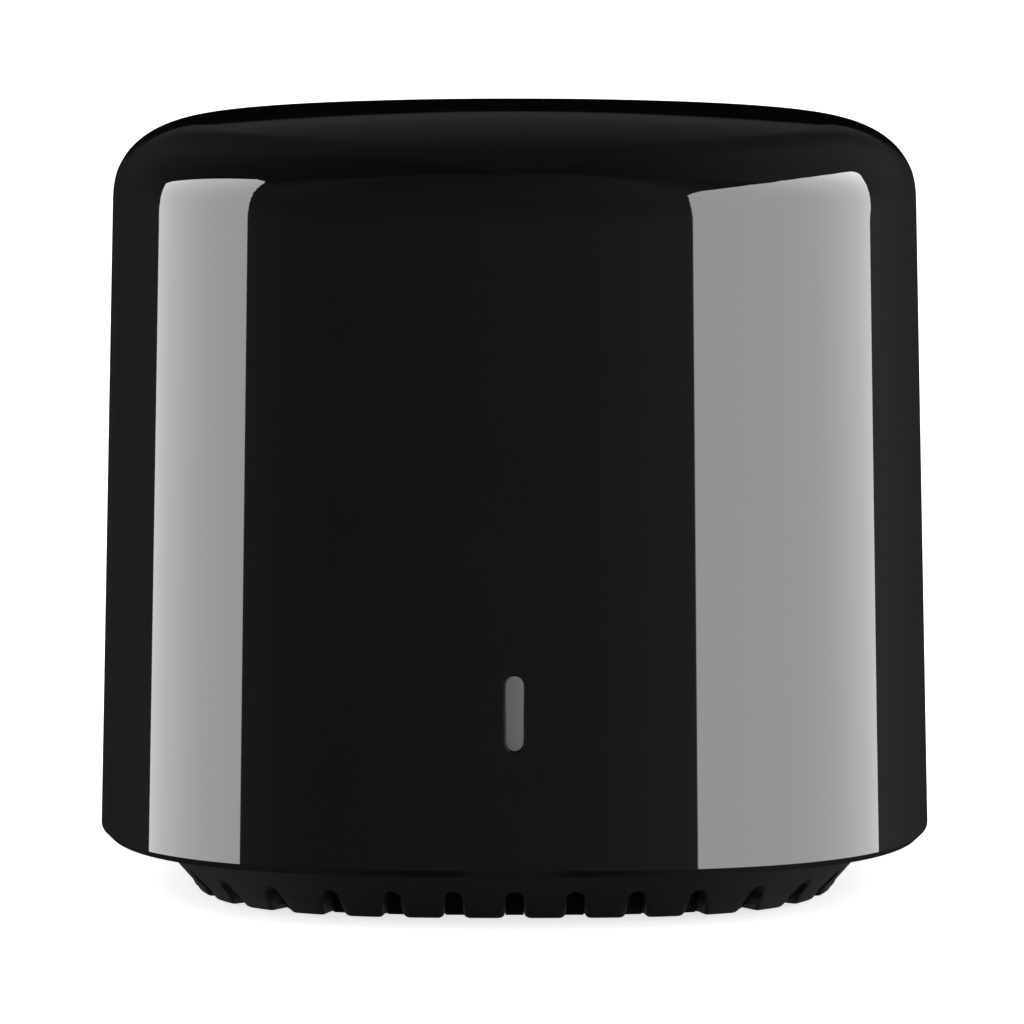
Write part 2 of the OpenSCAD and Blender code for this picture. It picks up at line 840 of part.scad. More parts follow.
// The shield covers the rear of the module, and the aerial lies on its front strip
wifi_top_z = board_top_z + solder_gap + wifi_t;
shield_y = wifi_y + (wifi_l - shield_l) / 2 - solder_gap;
antenna_y = wifi_y - wifi_l / 2 + antenna_l / 2 + antenna_line;
module wifi_shield() {
    color([0.72, 0.72, 0.74])
        laid_out() difference() {
            translate([-shield_w / 2, shield_y - shield_l / 2, wifi_top_z])
                cube([shield_w, shield_l, shield_h]);
            translate([shield_t - shield_w / 2, shield_y - shield_l / 2 + shield_t, wifi_top_z - overrun])
                cube([shield_w - 2 * shield_t, shield_l - 2 * shield_t, shield_h - shield_t + overrun]);
        }
}

module wifi_antenna() {
    step = (antenna_w - antenna_line) / antenna_turns;
    color([0.8, 0.55, 0.25])
        laid_out() translate([-antenna_w / 2, antenna_y - antenna_l / 2, wifi_top_z])
            linear_extrude(height = antenna_t) {
                for (k = [0 : antenna_turns])
                    translate([k * step, 0])
                        square([antenna_line, antenna_l]);
                for (k = [0 : antenna_turns - 1])
                    translate([k * step, k % 2 == 0 ? 0 : antenna_l - antenna_line])
                        square([step + antenna_line, antenna_line]);
            }
}

module voltage_regulator() {
    color([0.1, 0.1, 0.1]) {
        on_board(regulator_at, regulator_size);
        for (k = [-1 : 1])
            on_board([regulator_at[0] + k * regulator_pitch,
                      regulator_at[1] - (regulator_size[1] + regulator_lead_l) / 2],
                     [regulator_lead_w, regulator_lead_l + regulator_lead_w, regulator_lead_t]);
        on_board([regulator_at[0], regulator_at[1] + (regulator_size[1] + regulator_lead_l) / 2],
                 [regulator_pitch, regulator_lead_l + regulator_lead_w, regulator_lead_t]);
    }
}

module power_inductor() {
    color([0.2, 0.2, 0.2])
        difference() {
            on_board(inductor_at, inductor_size);
            laid_out()
                translate([inductor_at[0], inductor_at[1], board_top_z + solder_gap + inductor_size[2] - inductor_rim])
                difference() {
                    cylinder(r = inductor_r + inductor_rim / 2, h = inductor_rim + overrun, $fn = round_fn);
                    translate([0, 0, -overrun])
                        cylinder(r = inductor_r - inductor_rim / 2, h = inductor_rim + 3 * overrun, $fn = round_fn);
                }
        }
}

module capacitor_can() {
    bottom_z = board_top_z + solder_gap + capacitor_base_t;
    color([0.75, 0.75, 0.76])
        laid_out() translate([capacitor_at[0], capacitor_at[1], bottom_z])
            rotate_extrude($fn = round_fn)
                polygon([
                    [0, 0], [capacitor_r, 0],
                    [capacitor_r, capacitor_bead_z - capacitor_bead],
                    [capacitor_r - capacitor_bead, capacitor_bead_z],
                    [capacitor_r, capacitor_bead_z + capacitor_bead],
                    [capacitor_r, capacitor_h - capacitor_bead],
                    [capacitor_r - capacitor_bead, capacitor_h], [0, capacitor_h]]);
}

module capacitor_base() {
    half = capacitor_base_w / 2;
    cut = capacitor_chamfer;
    color([0.1, 0.1, 0.1])
        laid_out() translate([capacitor_at[0], capacitor_at[1], board_top_z + solder_gap])
            linear_extrude(height = capacitor_base_t)
                polygon([[-half, -half], [half, -half], [half, half - cut], [half - cut, half],
                         [cut - half, half], [-half, half - cut]]);
}

module memory_chip() {
    color([0.1, 0.1, 0.1]) {
        on_board(memory_at, memory_size);
        for (k = [0 : memory_lead_count - 1])
            on_board([memory_at[0], memory_at[1] + (k - (memory_lead_count - 1) / 2) * memory_pitch],
                     [memory_size[0] + 2 * memory_lead_l, memory_lead_w, memory_lead_t]);
    }
}

module crystal() {
    inset = crystal_lid_inset;
    color([0.75, 0.72, 0.6]) {
        on_board(crystal_at, crystal_size);
        on_board(crystal_at,
                 [crystal_size[0] - 2 * inset, crystal_size[1] - 2 * inset, crystal_size[2] + crystal_lid_t]);
    }
}

module lamp_drivers() {
    color([0.1, 0.1, 0.1])
        for (k = [0 : driver_count - 1]) {
            y = driver_y + (k - (driver_count - 1) / 2) * driver_pitch;
            on_board([driver_x, y], driver_size);
            for (side = [-1, 1])
                on_board([driver_x - (driver_size[0] + driver_lead_l) / 2, y + side * driver_size[1] / 3],
                         [driver_lead_l + driver_lead_w, driver_lead_w, driver_lead_t]);
            on_board([driver_x + (driver_size[0] + driver_lead_l) / 2, y],
                     [driver_lead_l + driver_lead_w, driver_lead_w, driver_lead_t]);
        }
}

module chip_resistors() {
    color([0.12, 0.12, 0.12])
        for (k = [0 : resistor_count - 1])
            on_board([resistor_x, (k - (resistor_count - 1) / 2) * resistor_pitch], resistor_size);
}

module chip_capacitors() {
    color([0.6, 0.45, 0.3])
        for (k = [0 : chip_cap_count - 1])
            on_board([chip_cap_x, (k - (chip_cap_count - 1) / 2) * chip_cap_pitch], chip_cap_size);
}

module at_header_pins() {
    for (k = [0 : header_count - 1])
        translate([(k - (header_count - 1) / 2) * header_pitch * layout_share, header_y * layout_share, 0])
            children();
}

module header_block() {
    color([0.05, 0.05, 0.05])
        difference() {
            on_board([0, header_y], [header_count * header_pitch, header_pitch, header_block_h]);
            at_header_pins()
                translate([0, 0, board_top_z - overrun])
                    cylinder(r = header_hole_r, h = header_block_h + 2 * overrun, $fn = round_fn);
        }
}

module header_pins() {
    low_z = board_z - header_pin_out;
    color([0.85, 0.65, 0.3])
        at_header_pins()
            translate([-header_pin_w / 2, -header_pin_w / 2, low_z])
                cube([header_pin_w, header_pin_w, ir_board_top_z + header_pin_out - low_z]);
}

// Hexagonal plate with its flats towards the lamps
module hex_plate(apothem, z, t) {
    translate([0, 0, z])
        cylinder(r = apothem / cos(30), h = t, $fn = 6);
}

// The two leads of each lamp, as [distance from the middle, place across]
lead_foot_r = lamp_back_r - lamp_lead_back;
module at_lamp_lead_feet() {
    for (side = [-1, 1]) {
        for (turn = lamp_turns)
            rotate([0, 0, turn])
                translate([lead_foot_r, side * lamp_lead_pitch / 2, 0])
                    children();
        translate([side * lamp_lead_pitch / 2, 0, 0])
            children();
    }
}

module ir_board() {
    color([0.05, 0.2, 0.12])
        difference() {
            hex_plate(holder_out, ir_board_z, ir_board_t);
            translate([0, 0, ir_board_z - overrun]) {
                at_corners(leg_turns)
                    cylinder(r = leg_r + seat_gap, h = ir_board_t + 2 * overrun, $fn = round_fn);
                at_corners(holder_screw_turns)
                    cylinder(r = holder_screw_r + seat_gap, h = ir_board_t + 2 * overrun, $fn = round_fn);
                at_header_pins()
                    cylinder(r = header_hole_r, h = ir_board_t + 2 * overrun, $fn = round_fn);
                at_lamp_lead_feet()
                    cylinder(r = lamp_hole_r, h = ir_board_t + 2 * overrun, $fn = round_fn);
            }
        }
}

module lamp_holder() {
    holder_z = ir_board_top_z + solder_gap;
    color([0.07, 0.07, 0.075])
        difference() {
            union() {
                difference() {
                    hex_plate(holder_out, holder_z, holder_h);
                    hex_plate(holder_in, holder_z - overrun, holder_h + 2 * overrun);
                }
                at_corners(leg_turns) {
                    translate([0, 0, board_top_z])
                        cylinder(r = leg_r, h = holder_z - board_top_z + holder_h / 2, $fn = round_fn);
                    translate([0, 0, board_z])
                        cylinder(r = leg_peg_r, h = board_t + overrun, $fn = round_fn);
                }
            }
            for (turn = lamp_turns)
                rotate([0, 0, turn])
                    translate([holder_in - overrun, 0, lamp_axis_z])
                        rotate([0, 90, 0])
                            cylinder(r = lamp_r + seat_gap, h = holder_t + 2 * overrun, $fn = round_fn);
            at_corners(holder_screw_turns)
                translate([0, 0, holder_z - overrun])
                    cylinder(r = holder_pilot_r, h = holder_pilot_depth + overrun, $fn = round_fn);
        }
}

module holder_screws() {
    color([0.7, 0.7, 0.72])
        at_corners(holder_screw_turns)
            translate([0, 0, ir_board_z])
                rotate([180, 0, 0])
                    pan_screw(holder_screw_r, ir_board_t + holder_screw_bite,
                              holder_screw_head_r, holder_screw_head_h);
}

// Infrared lamp that points up, with the back of its flange at zero
module lamp() {
    color([0.75, 0.78, 0.9, 0.8])
        rotate_extrude($fn = round_fn)
            intersection() {
                union() {
                    square([lamp_flange_r, lamp_flange_t]);
                    square([lamp_r, lamp_run - lamp_r]);
                    translate([0, lamp_run - lamp_r])
                        circle(lamp_r, $fn = round_fn);
                }
                square([lamp_flange_r, lamp_run]);
            }
}

module ir_lamp(index) {
    rotate([0, 0, lamp_turns[index - 1]])
        translate([lamp_back_r, 0, lamp_axis_z])
            rotate([0, 90, 0])
                lamp();
}

module ir_lamp_top() {
    translate([0, 0, lamp_top_z])
        lamp();
}

module lamp_leads() {
    low_z = ir_board_z - lamp_lead_out;
    w = lamp_lead_w;
    color([0.78, 0.78, 0.78]) {
        for (side = [-1, 1]) {
            for (turn = lamp_turns)
                rotate([0, 0, turn])
                    translate([lead_foot_r - w / 2, side * lamp_lead_pitch / 2 - w / 2, 0]) {
                        translate([0, 0, low_z])
                            cube([w, w, lamp_axis_z + w / 2 - low_z]);
                        translate([0, 0, lamp_axis_z - w / 2])
                            cube([lamp_lead_back + w / 2, w, w]);
                    }
            translate([side * lamp_lead_pitch / 2 - w / 2, -w / 2, low_z])
                cube([w, w, lamp_top_z - low_z]);
        }
    }
}

module at_receiver_leads() {
    for (k = [-1 : 1])
        translate([(receiver_at[0] + k * receiver_lead_pitch) * layout_share, receiver_at[1] * layout_share, 0])
            children();
}

module ir_receiver() {
    color([0.12, 0.1, 0.12])
        laid_out() translate([receiver_at[0], receiver_at[1], receiver_z]) {
            translate([-receiver_w / 2, -receiver_l / 2, 0])
                cube([receiver_w, receiver_l, receiver_h]);
            intersection() {
                translate([0, receiver_dome_r - receiver_dome_out - receiver_l / 2, receiver_h / 2])
                    sphere(receiver_dome_r, $fn = round_fn);
                translate([-receiver_w / 2, -receiver_l, 0])
                    cube([receiver_w, receiver_l, receiver_h]);
            }
        }
}

module receiver_leads() {
    w = receiver_lead_w;
    low_z = board_z - receiver_lead_out;
    color([0.78, 0.78, 0.78])
        at_receiver_leads()
            translate([-w / 2, -w / 2, low_z])
                cube([w, w, receiver_z - low_z]);
}

outer_shell();
light_pipe();
base();
rubber_pad();
main_board();
board_screws();
usb_socket_shell();
usb_tongue();
usb_contacts();
reset_button();
switch_body();
switch_cover();
switch_plunger();
status_led();
wifi_board();
wifi_shield();
wifi_antenna();
voltage_regulator();
power_inductor();
capacitor_can();
capacitor_base();
memory_chip();
crystal();
lamp_drivers();
chip_resistors();
chip_capacitors();
header_block();
header_pins();
ir_board();
lamp_holder();
holder_screws();
ir_lamp(1);  // ir_lamp_1
ir_lamp(2);  // ir_lamp_2
ir_lamp(3);  // ir_lamp_3
ir_lamp(4);  // ir_lamp_4
ir_lamp(5);  // ir_lamp_5
ir_lamp(6);  // ir_lamp_6
ir_lamp_top();
lamp_leads();
ir_receiver();
receiver_leads();
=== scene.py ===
import json

import bmesh
import bpy
import numpy as np
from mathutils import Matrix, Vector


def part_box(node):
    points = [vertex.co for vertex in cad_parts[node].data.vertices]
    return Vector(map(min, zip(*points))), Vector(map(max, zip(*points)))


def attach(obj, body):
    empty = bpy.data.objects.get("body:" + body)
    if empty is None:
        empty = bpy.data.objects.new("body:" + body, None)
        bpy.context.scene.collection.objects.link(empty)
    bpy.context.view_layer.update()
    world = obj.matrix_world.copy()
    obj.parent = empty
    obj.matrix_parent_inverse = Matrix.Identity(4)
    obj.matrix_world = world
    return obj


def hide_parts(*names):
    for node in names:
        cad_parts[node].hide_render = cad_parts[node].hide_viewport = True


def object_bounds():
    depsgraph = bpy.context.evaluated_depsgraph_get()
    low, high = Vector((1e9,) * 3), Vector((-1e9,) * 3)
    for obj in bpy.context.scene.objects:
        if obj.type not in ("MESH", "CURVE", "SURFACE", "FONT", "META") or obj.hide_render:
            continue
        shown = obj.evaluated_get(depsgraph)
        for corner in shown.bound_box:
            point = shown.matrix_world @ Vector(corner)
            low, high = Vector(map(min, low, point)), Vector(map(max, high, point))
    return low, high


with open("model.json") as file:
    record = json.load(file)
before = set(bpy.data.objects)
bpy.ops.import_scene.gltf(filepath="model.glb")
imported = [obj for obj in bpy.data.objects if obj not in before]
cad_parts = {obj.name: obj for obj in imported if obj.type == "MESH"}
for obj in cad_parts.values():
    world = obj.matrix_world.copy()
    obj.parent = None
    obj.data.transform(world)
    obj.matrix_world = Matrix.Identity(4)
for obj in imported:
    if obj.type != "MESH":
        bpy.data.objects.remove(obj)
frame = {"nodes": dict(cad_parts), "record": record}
cad_low, cad_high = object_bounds()

# Base
# One injection moulding in satin black ABS with a fine spark-eroded texture. Its flared foot has
# a ring of air slots, its flange fits inside the shell, and three hooks snap into the shell.
MM = 0.001
body_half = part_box("outer_shell")[1].x / MM
body_h = cad_high.z / MM
shell_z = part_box("outer_shell")[0].z / MM
flange_top_z = 4.85
flange_z = 3.85
flange_half = 20.95
wall_power = 2 / 0.695
foot_power = 2 / 0.645
foot_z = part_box("base")[0].z / MM
foot_half = 17.95
foot_top_half = 20.15
foot_top_z = shell_z - 0.1
foot_edge_r = 0.4
foot_bow = 0.02
neck_half = 19.9
tray_half = 18.0
floor_z = 2.4
pad_recess_half = 14.7
pad_recess_z = 1.0
slot_count = 37
slot_w = 1.0
slot_depth = 1.5
slot_top_z = foot_z + 1.66
slot_rows = 4
tooth_w = 2.25
tooth_r = 0.35
tooth_fade = 0.9


def reach(power, turn):
    """A superellipse's distance from the middle at an angle: (|cos|^power + |sin|^power)^(-1 / power)."""
    return (np.abs(np.cos(turn)) ** power + np.abs(np.sin(turn)) ** power) ** (-1 / power)


def quads(rows, columns, closed=True):
    """Corner numbers of the quads between neighbouring rows and columns of a grid."""
    row = np.arange(rows - 1)[:, None]
    column = np.arange(columns if closed else columns - 1)[None, :]
    after = (column + 1) % columns
    corners = [row * columns + column, row * columns + after]
    corners += [(row + 1) * columns + after, (row + 1) * columns + column]
    return np.stack(np.broadcast_arrays(*corners), -1).reshape(-1, 4)


def join(name, grids, body, finish, smooth_turn=32):
    """One closed mesh from grids of points in mm, with shared edges welded and faces turned outwards."""
    starts = np.cumsum([0] + [points.reshape(-1, 3).shape[0] for points, faces in grids])
    verts = np.concatenate([points.reshape(-1, 3) for points, faces in grids]) * MM
    faces = np.concatenate([faces + start for (points, faces), start in zip(grids, starts)])
    mesh = bpy.data.meshes.new(name)
    mesh.from_pydata(verts.tolist(), [], faces.tolist())
    shape = bmesh.new()
    shape.from_mesh(mesh)
    bmesh.ops.remove_doubles(shape, verts=shape.verts, dist=0.002 * MM)
    bmesh.ops.recalc_face_normals(shape, faces=shape.faces)
    shape.to_mesh(mesh)
    shape.free()
    mesh.shade_smooth()
    mesh.set_sharp_from_angle(angle=np.radians(smooth_turn))
    mesh.materials.append(finish)
    piece = bpy.data.objects.new(name, mesh)
    bpy.context.scene.collection.objects.link(piece)
    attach(piece, body)
    return piece


def plastic(name, colour, roughness, grain, depth, metallic=0.0, spread=0.25, shine=0.5):
    """Finish whose colour drifts with a broad noise, and whose roughness and relief go by a fine grain."""
    finish = bpy.data.materials.new(name)
    finish.use_nodes = True
    nodes = finish.node_tree.nodes
    links = finish.node_tree.links
    surface = nodes["Principled BSDF"]
    surface.inputs["Metallic"].default_value = metallic
    surface.inputs["Specular IOR Level"].default_value = shine
    place = nodes.new("ShaderNodeTexCoord").outputs["Object"]
    broad = nodes.new("ShaderNodeTexNoise")
    broad.inputs["Scale"].default_value = 180
    broad.inputs["Detail"].default_value = 3
    fine = nodes.new("ShaderNodeTexNoise")
    fine.inputs["Scale"].default_value = grain
    fine.inputs["Detail"].default_value = 4
    links.new(place, broad.inputs["Vector"])
    links.new(place, fine.inputs["Vector"])
    tint = nodes.new("ShaderNodeMix")
    tint.data_type = "RGBA"
    tint.inputs["A"].default_value = [c * (1 - spread) for c in colour] + [1]
    tint.inputs["B"].default_value = [min(c * (1 + spread), 1) for c in colour] + [1]
    links.new(broad.outputs["Fac"], tint.inputs["Factor"])
    links.new(tint.outputs["Result"], surface.inputs["Base Color"])
    rough = nodes.new("ShaderNodeMapRange")
    rough.inputs["To Min"].default_value = roughness * (1 - spread)
    rough.inputs["To Max"].default_value = min(roughness * (1 + spread), 1)
    links.new(fine.outputs["Fac"], rough.inputs["Value"])
    links.new(rough.outputs["Result"], surface.inputs["Roughness"])
    lift = nodes.new("ShaderNodeBump")
    lift.inputs["Strength"].default_value = 0.6
    lift.inputs["Distance"].default_value = depth * MM
    links.new(fine.outputs["Fac"], lift.inputs["Height"])
    links.new(lift.outputs["Normal"], surface.inputs["Normal"])
    return finish


def foot_profile():
    """Half width and height from the foot's rounded edge up the flare, which bows out as a parabola."""
    turn = np.radians([90, 70, 50, 35])
    low_half = foot_half - foot_edge_r * (1 - np.cos(turn))
    low_z = foot_z + foot_edge_r * (1 - np.sin(turn))
    share = np.linspace(0, 1, 12)
    half = foot_half + (foot_top_half - foot_half) * share + 4 * foot_bow * share * (1 - share)
    height = foot_z + foot_edge_r + (foot_top_z - foot_z - foot_edge_r) * share
    return np.stack([np.concatenate([low_half, half]), np.concatenate([low_z, height])], -1)


def on_outline(start, way, half, power):
    """Where lines from start along way meet the superellipse of a half width, by Newton's steps."""
    run = np.zeros(np.broadcast_shapes(start.shape[:-1], np.shape(half)))
    for _ in range(12):
        spot = start + run[..., None] * way
        size = (np.abs(spot) ** power).sum(-1) ** (1 / power)
        slope = (np.sign(spot) * (np.abs(spot) / size[..., None]) ** (power - 1) * way).sum(-1)
        run = run - (size - half) / slope
    return start + run[..., None] * way


def slot_places():
    """The slots' middles and outward directions, at equal steps along the foot's outline from the front."""
    turn = np.radians(np.linspace(-90, 270, 7201))
    line = foot_half * reach(foot_power, turn)[:, None] * np.stack([np.cos(turn), np.sin(turn)], -1)
    length = np.concatenate([[0], np.cumsum(np.linalg.norm(np.diff(line, axis=0), axis=1))])
    at = np.interp(np.arange(slot_count) * length[-1] / slot_count, length, turn)
    middle = foot_half * reach(foot_power, at)[:, None] * np.stack([np.cos(at), np.sin(at)], -1)
    way = np.sign(middle) * np.abs(middle) ** (foot_power - 1)
    return middle, way / np.linalg.norm(way, axis=1)[:, None]


def base_grid():
    """Grid round the base, in mm: seven columns across each slot, then eleven across the tooth after it.
    Rows run from the middle of the pad's recess out over the bottom, up the flare, and back into the tray.
    Below the slots' round tops a slot's columns go up its inner wall and out along its ceiling instead.
    A tooth's lower corners rise on a quarter circle, which fades out above them."""
    offset = slot_w / 2 * np.array([-1, -0.9, -0.6, 0, 0.6, 0.9, 1])
    middle, way = slot_places()
    across = np.stack([-way[:, 1], way[:, 0]], -1)
    start = middle[:, None] + offset[None, :, None] * across[:, None]
    out = np.broadcast_to(way[:, None], start.shape)
    core = start - slot_depth * out
    ceiling = slot_top_z - slot_w / 2 + np.sqrt(np.maximum((slot_w / 2) ** 2 - offset ** 2, 0))
    profile = foot_profile()
    steps = np.arange(1, slot_rows + 1)[:, None] / slot_rows
    slot_side_z = np.linspace(foot_z + foot_edge_r, slot_top_z - slot_w / 2, slot_rows + 1)[1:]
    tooth_z = np.concatenate([profile[:slot_rows, 1], slot_side_z])
    upper_z = np.linspace(slot_top_z, foot_top_z, 7)
    share = np.array([0, 0.02, 0.05, 0.1, 0.17, 0.5, 0.83, 0.9, 0.95, 0.98, 1])
    from_side = np.minimum(np.minimum(share, 1 - share) * tooth_w, tooth_r)
    rise = tooth_r - np.sqrt(tooth_r ** 2 - (tooth_r - from_side) ** 2)

    def tooth(left, right, half):
        """Outline points between two slots, at equal steps of angle."""
        low = np.arctan2(left[:, 1], left[:, 0])
        gap = (np.arctan2(right[:, 1], right[:, 0]) - low) % (2 * np.pi)
        turn = low[:, None] + share * gap[:, None]
        return half * reach(foot_power, turn)[..., None] * np.stack([np.cos(turn), np.sin(turn)], -1)

    def row(slots, teeth, slot_height, tooth_height):
        """One row of the grid: seven slot columns and eleven tooth columns, again and again."""
        spots = np.concatenate([slots, teeth], 1)
        raised = tooth_height + rise * np.clip(1 - (tooth_height - foot_z) / tooth_fade, 0, 1)
        heights = np.concatenate([np.broadcast_to(slot_height, offset.shape), raised])
        return np.concatenate([spots, np.broadcast_to(heights[None, :, None], spots.shape[:2] + (1,))], -1)

    def outer(height):
        """Slot and tooth points on the foot's outside at a height."""
        half = np.interp(height, profile[:, 1], profile[:, 0])
        slots = on_outline(start, out, half, foot_power)
        return slots, tooth(slots[:, -1], np.roll(slots[:, 0], -1, 0), half)

    after = np.roll(core[:, 0], -1, 0)
    core_tooth = core[:, -1][:, None] + share[None, :, None] * (after - core[:, -1])[:, None]
    rows = [row(core, core_tooth, foot_z, foot_z)]
    outside = on_outline(start, out, np.interp(ceiling, profile[:, 1], profile[:, 0]), foot_power)
    for k, height in enumerate(tooth_z):
        if k < slot_rows:
            slots = core
            slot_height = foot_z + steps[k] * (ceiling - foot_z)
        else:
            slots = core + steps[k - slot_rows] * (outside - core)
            slot_height = ceiling
        rows.append(row(slots, outer(height)[1], slot_height, height))
    for height in upper_z:
        rows.append(row(*outer(height), height, height))
    rows = np.stack(rows).reshape(len(rows), -1, 3)
    turn = np.arctan2(rows[-1, :, 1], rows[-1, :, 0])
    return np.concatenate([
        rings([[0, foot_power, pad_recess_z], [pad_recess_half, foot_power, pad_recess_z],
               [pad_recess_half, foot_power, foot_z]], turn),
        rows,
        rings([[neck_half, foot_power, foot_top_z], [neck_half, foot_power, flange_z],
               [flange_half, wall_power, flange_z], [flange_half, wall_power, flange_top_z],
               [tray_half, foot_power, flange_top_z], [tray_half, foot_power, floor_z],
               [0, foot_power, floor_z]], turn)])


def rings(sizes, turn):
    """Superellipse rings at the given angles, each from its [half width, power, height]."""
    half, power, height = np.array(sizes, float).T[:, :, None]
    far = half * reach(power, turn[None, :])
    return np.stack(np.broadcast_arrays(far * np.cos(turn), far * np.sin(turn), height), -1)


def lathe(profile, columns=48):
    """A profile of [radius, height] turned about the upright axis through the origin."""
    turn = np.linspace(0, 2 * np.pi, columns, endpoint=False)
    radius, height = np.array(profile, float).T[:, :, None]
    return np.stack(np.broadcast_arrays(radius * np.cos(turn), radius * np.sin(turn), height), -1)


def grid(points):
    """A grid of points and its quads, closed round the rows."""
    return points, quads(points.shape[0], points.shape[1])


def bar(outline, low, high):
    """A flat outline of [x, y] carried from one height to another, with both ends closed at its middle."""
    outline = np.array(outline, float)
    middle = np.broadcast_to(outline.mean(0), outline.shape)
    levels = [[middle, low], [outline, low], [outline, high], [middle, high]]
    return np.stack([np.concatenate([flat, np.full((len(flat), 1), z)], 1) for flat, z in levels])


hook_w = 7.0
hook_out = 20.8
hook_t = 1.0
hook_catch = 0.75
hook_catch_z = 7.7
hook_top_z = 8.6
hook_side = [[hook_out - hook_t, flange_z], [hook_out, flange_z], [hook_out, hook_catch_z],
             [hook_out + hook_catch, hook_catch_z], [hook_out, hook_top_z], [hook_out - hook_t, hook_top_z]]
boss_r = 2.2
boss_low_z = 1.7
boss_top_z = 7.4
boss_edge = 0.1
bore_r = 1.0
bore_z = 3.0
boss = [[0, boss_low_z], [boss_r, boss_low_z], [boss_r, boss_top_z - boss_edge],
        [boss_r - boss_edge, boss_top_z], [bore_r + boss_edge, boss_top_z],
        [bore_r, boss_top_z - boss_edge], [bore_r, bore_z], [0, bore_z]]
screw_x = 12.5
screw_y = 8.5

base_satin = plastic("base_satin", (0.0076, 0.0076, 0.0077), 0.6, 5200, 0.012, shine=0.03)
base_grids = [grid(base_grid())]
for hook_turn in np.radians([-90, 0, 180]):
    side = bar(hook_side, -hook_w / 2, hook_w / 2)
    radial, height, along = side[..., 0], side[..., 1], side[..., 2]
    x = radial * np.cos(hook_turn) - along * np.sin(hook_turn)
    y = radial * np.sin(hook_turn) + along * np.cos(hook_turn)
    base_grids.append(grid(np.stack([x, y, height], -1)))
for sx in (-1, 1):
    for sy in (-1, 1):
        base_grids.append(grid(lathe(boss) + [sx * screw_x, sy * screw_y, 0]))
base_piece = join("satin_base", base_grids, "housing", base_satin)
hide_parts("base")

# Rubber pad
# A die-cut sheet of black rubber glued into the recess under the foot. Its edge is rounded by the
# cutting, and two grooves let it grip and drain.
pad_half = 14.6
groove_halves = [7, 10.65]
groove_side = [[0, 0], [0.06, 0.26], [0.12, 0.3], [0.48, 0.3], [0.54, 0.26], [0.6, 0]]
pad_turn = np.linspace(0, 2 * np.pi, 240, endpoint=False)
pad_rows = [[0, 0]]
for groove_half in groove_halves:
    pad_rows += [[groove_half + across, up] for across, up in groove_side]
pad_rows += [[pad_half - 0.2, 0], [pad_half - 0.06, 0.05], [pad_half, 0.2], [pad_half, pad_recess_z],
             [0, pad_recess_z]]
pad_rubber = plastic("pad_rubber", (0.021, 0.021, 0.022), 0.8, 3600, 0.03)
pad_points = rings([[half, foot_power, height] for half, height in pad_rows], pad_turn)
pad_piece = join("rubber_foot_pad", [grid(pad_points)], "housing", pad_rubber)
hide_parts("rubber_pad")

# Main board and what is soldered to it
# Green fibreglass laminate with a solder mask, screwed to the base with four pan head screws, and
# carrying moulded black packages, tinned parts, a wound can and gilt contacts.

# Name, colour, roughness, grain, relief in mm, 1 for metal, and the spread where it is a small one
inside_finishes = [
    ("board_laminate", (0.012, 0.09, 0.04), 0.4, 900, 0.02, 0),
    ("module_laminate", (0.012, 0.03, 0.1), 0.4, 900, 0.02, 0),
    ("screw_steel", (0.55, 0.55, 0.56), 0.3, 2600, 0.01, 1),
    ("socket_steel", (0.62, 0.61, 0.6), 0.28, 3000, 0.008, 1),
    ("tinned_sheet", (0.66, 0.66, 0.64), 0.32, 1800, 0.01, 1),
    ("gold_plating", (0.83, 0.6, 0.25), 0.25, 2200, 0.006, 1),
    ("can_aluminium", (0.7, 0.7, 0.71), 0.35, 1500, 0.01, 1),
    ("black_resin", (0.018, 0.018, 0.019), 0.55, 3200, 0.012, 0),
    ("ferrite", (0.05, 0.048, 0.047), 0.7, 2400, 0.03, 0),
    ("chip_ceramic", (0.35, 0.24, 0.15), 0.5, 2600, 0.01, 0),
    ("plunger_red", (0.35, 0.03, 0.02), 0.45, 2600, 0.01, 0),
    ("led_white", (0.75, 0.75, 0.7), 0.4, 2200, 0.01, 0, 0.08),
    ("lamp_epoxy", (0.55, 0.58, 0.72), 0.12, 1200, 0.004, 0, 0.1),
    ("receiver_epoxy", (0.03, 0.02, 0.03), 0.25, 1800, 0.006, 0),
]
finishes = {values[0]: plastic(*values) for values in inside_finishes}
finishes["base_satin"] = base_satin
inside_finish = {entry["node"]: entry["material_slot"] for entry in frame["record"]["subparts"]}


def dress(nodes):
    """Gives CAD nodes, which keep their own meshes, the finish that the record names for them."""
    for node in nodes:
        mesh = frame["nodes"][node].data
        mesh.materials.clear()
        mesh.materials.append(finishes[inside_finish[node]])


dress(["main_board", "board_screws", "switch_body", "switch_cover", "switch_plunger", "status_led",
       "wifi_board", "wifi_shield", "wifi_antenna", "voltage_regulator", "power_inductor",
       "capacitor_can", "capacitor_base", "memory_chip", "crystal", "lamp_drivers", "chip_resistors",
       "chip_capacitors", "header_block", "header_pins"])

# Upper board, lamp holder, lamps and receiver
# A hexagonal board under a moulded ring that aims six clear infrared lamps outwards. A seventh lamp
# stands up in the middle, and a dark receiver stands on the main board at the front.
dress(["ir_board", "lamp_holder", "holder_screws", "ir_lamp_1", "ir_lamp_2", "ir_lamp_3", "ir_lamp_4",
       "ir_lamp_5", "ir_lamp_6", "ir_lamp_top", "lamp_leads", "ir_receiver", "receiver_leads"])

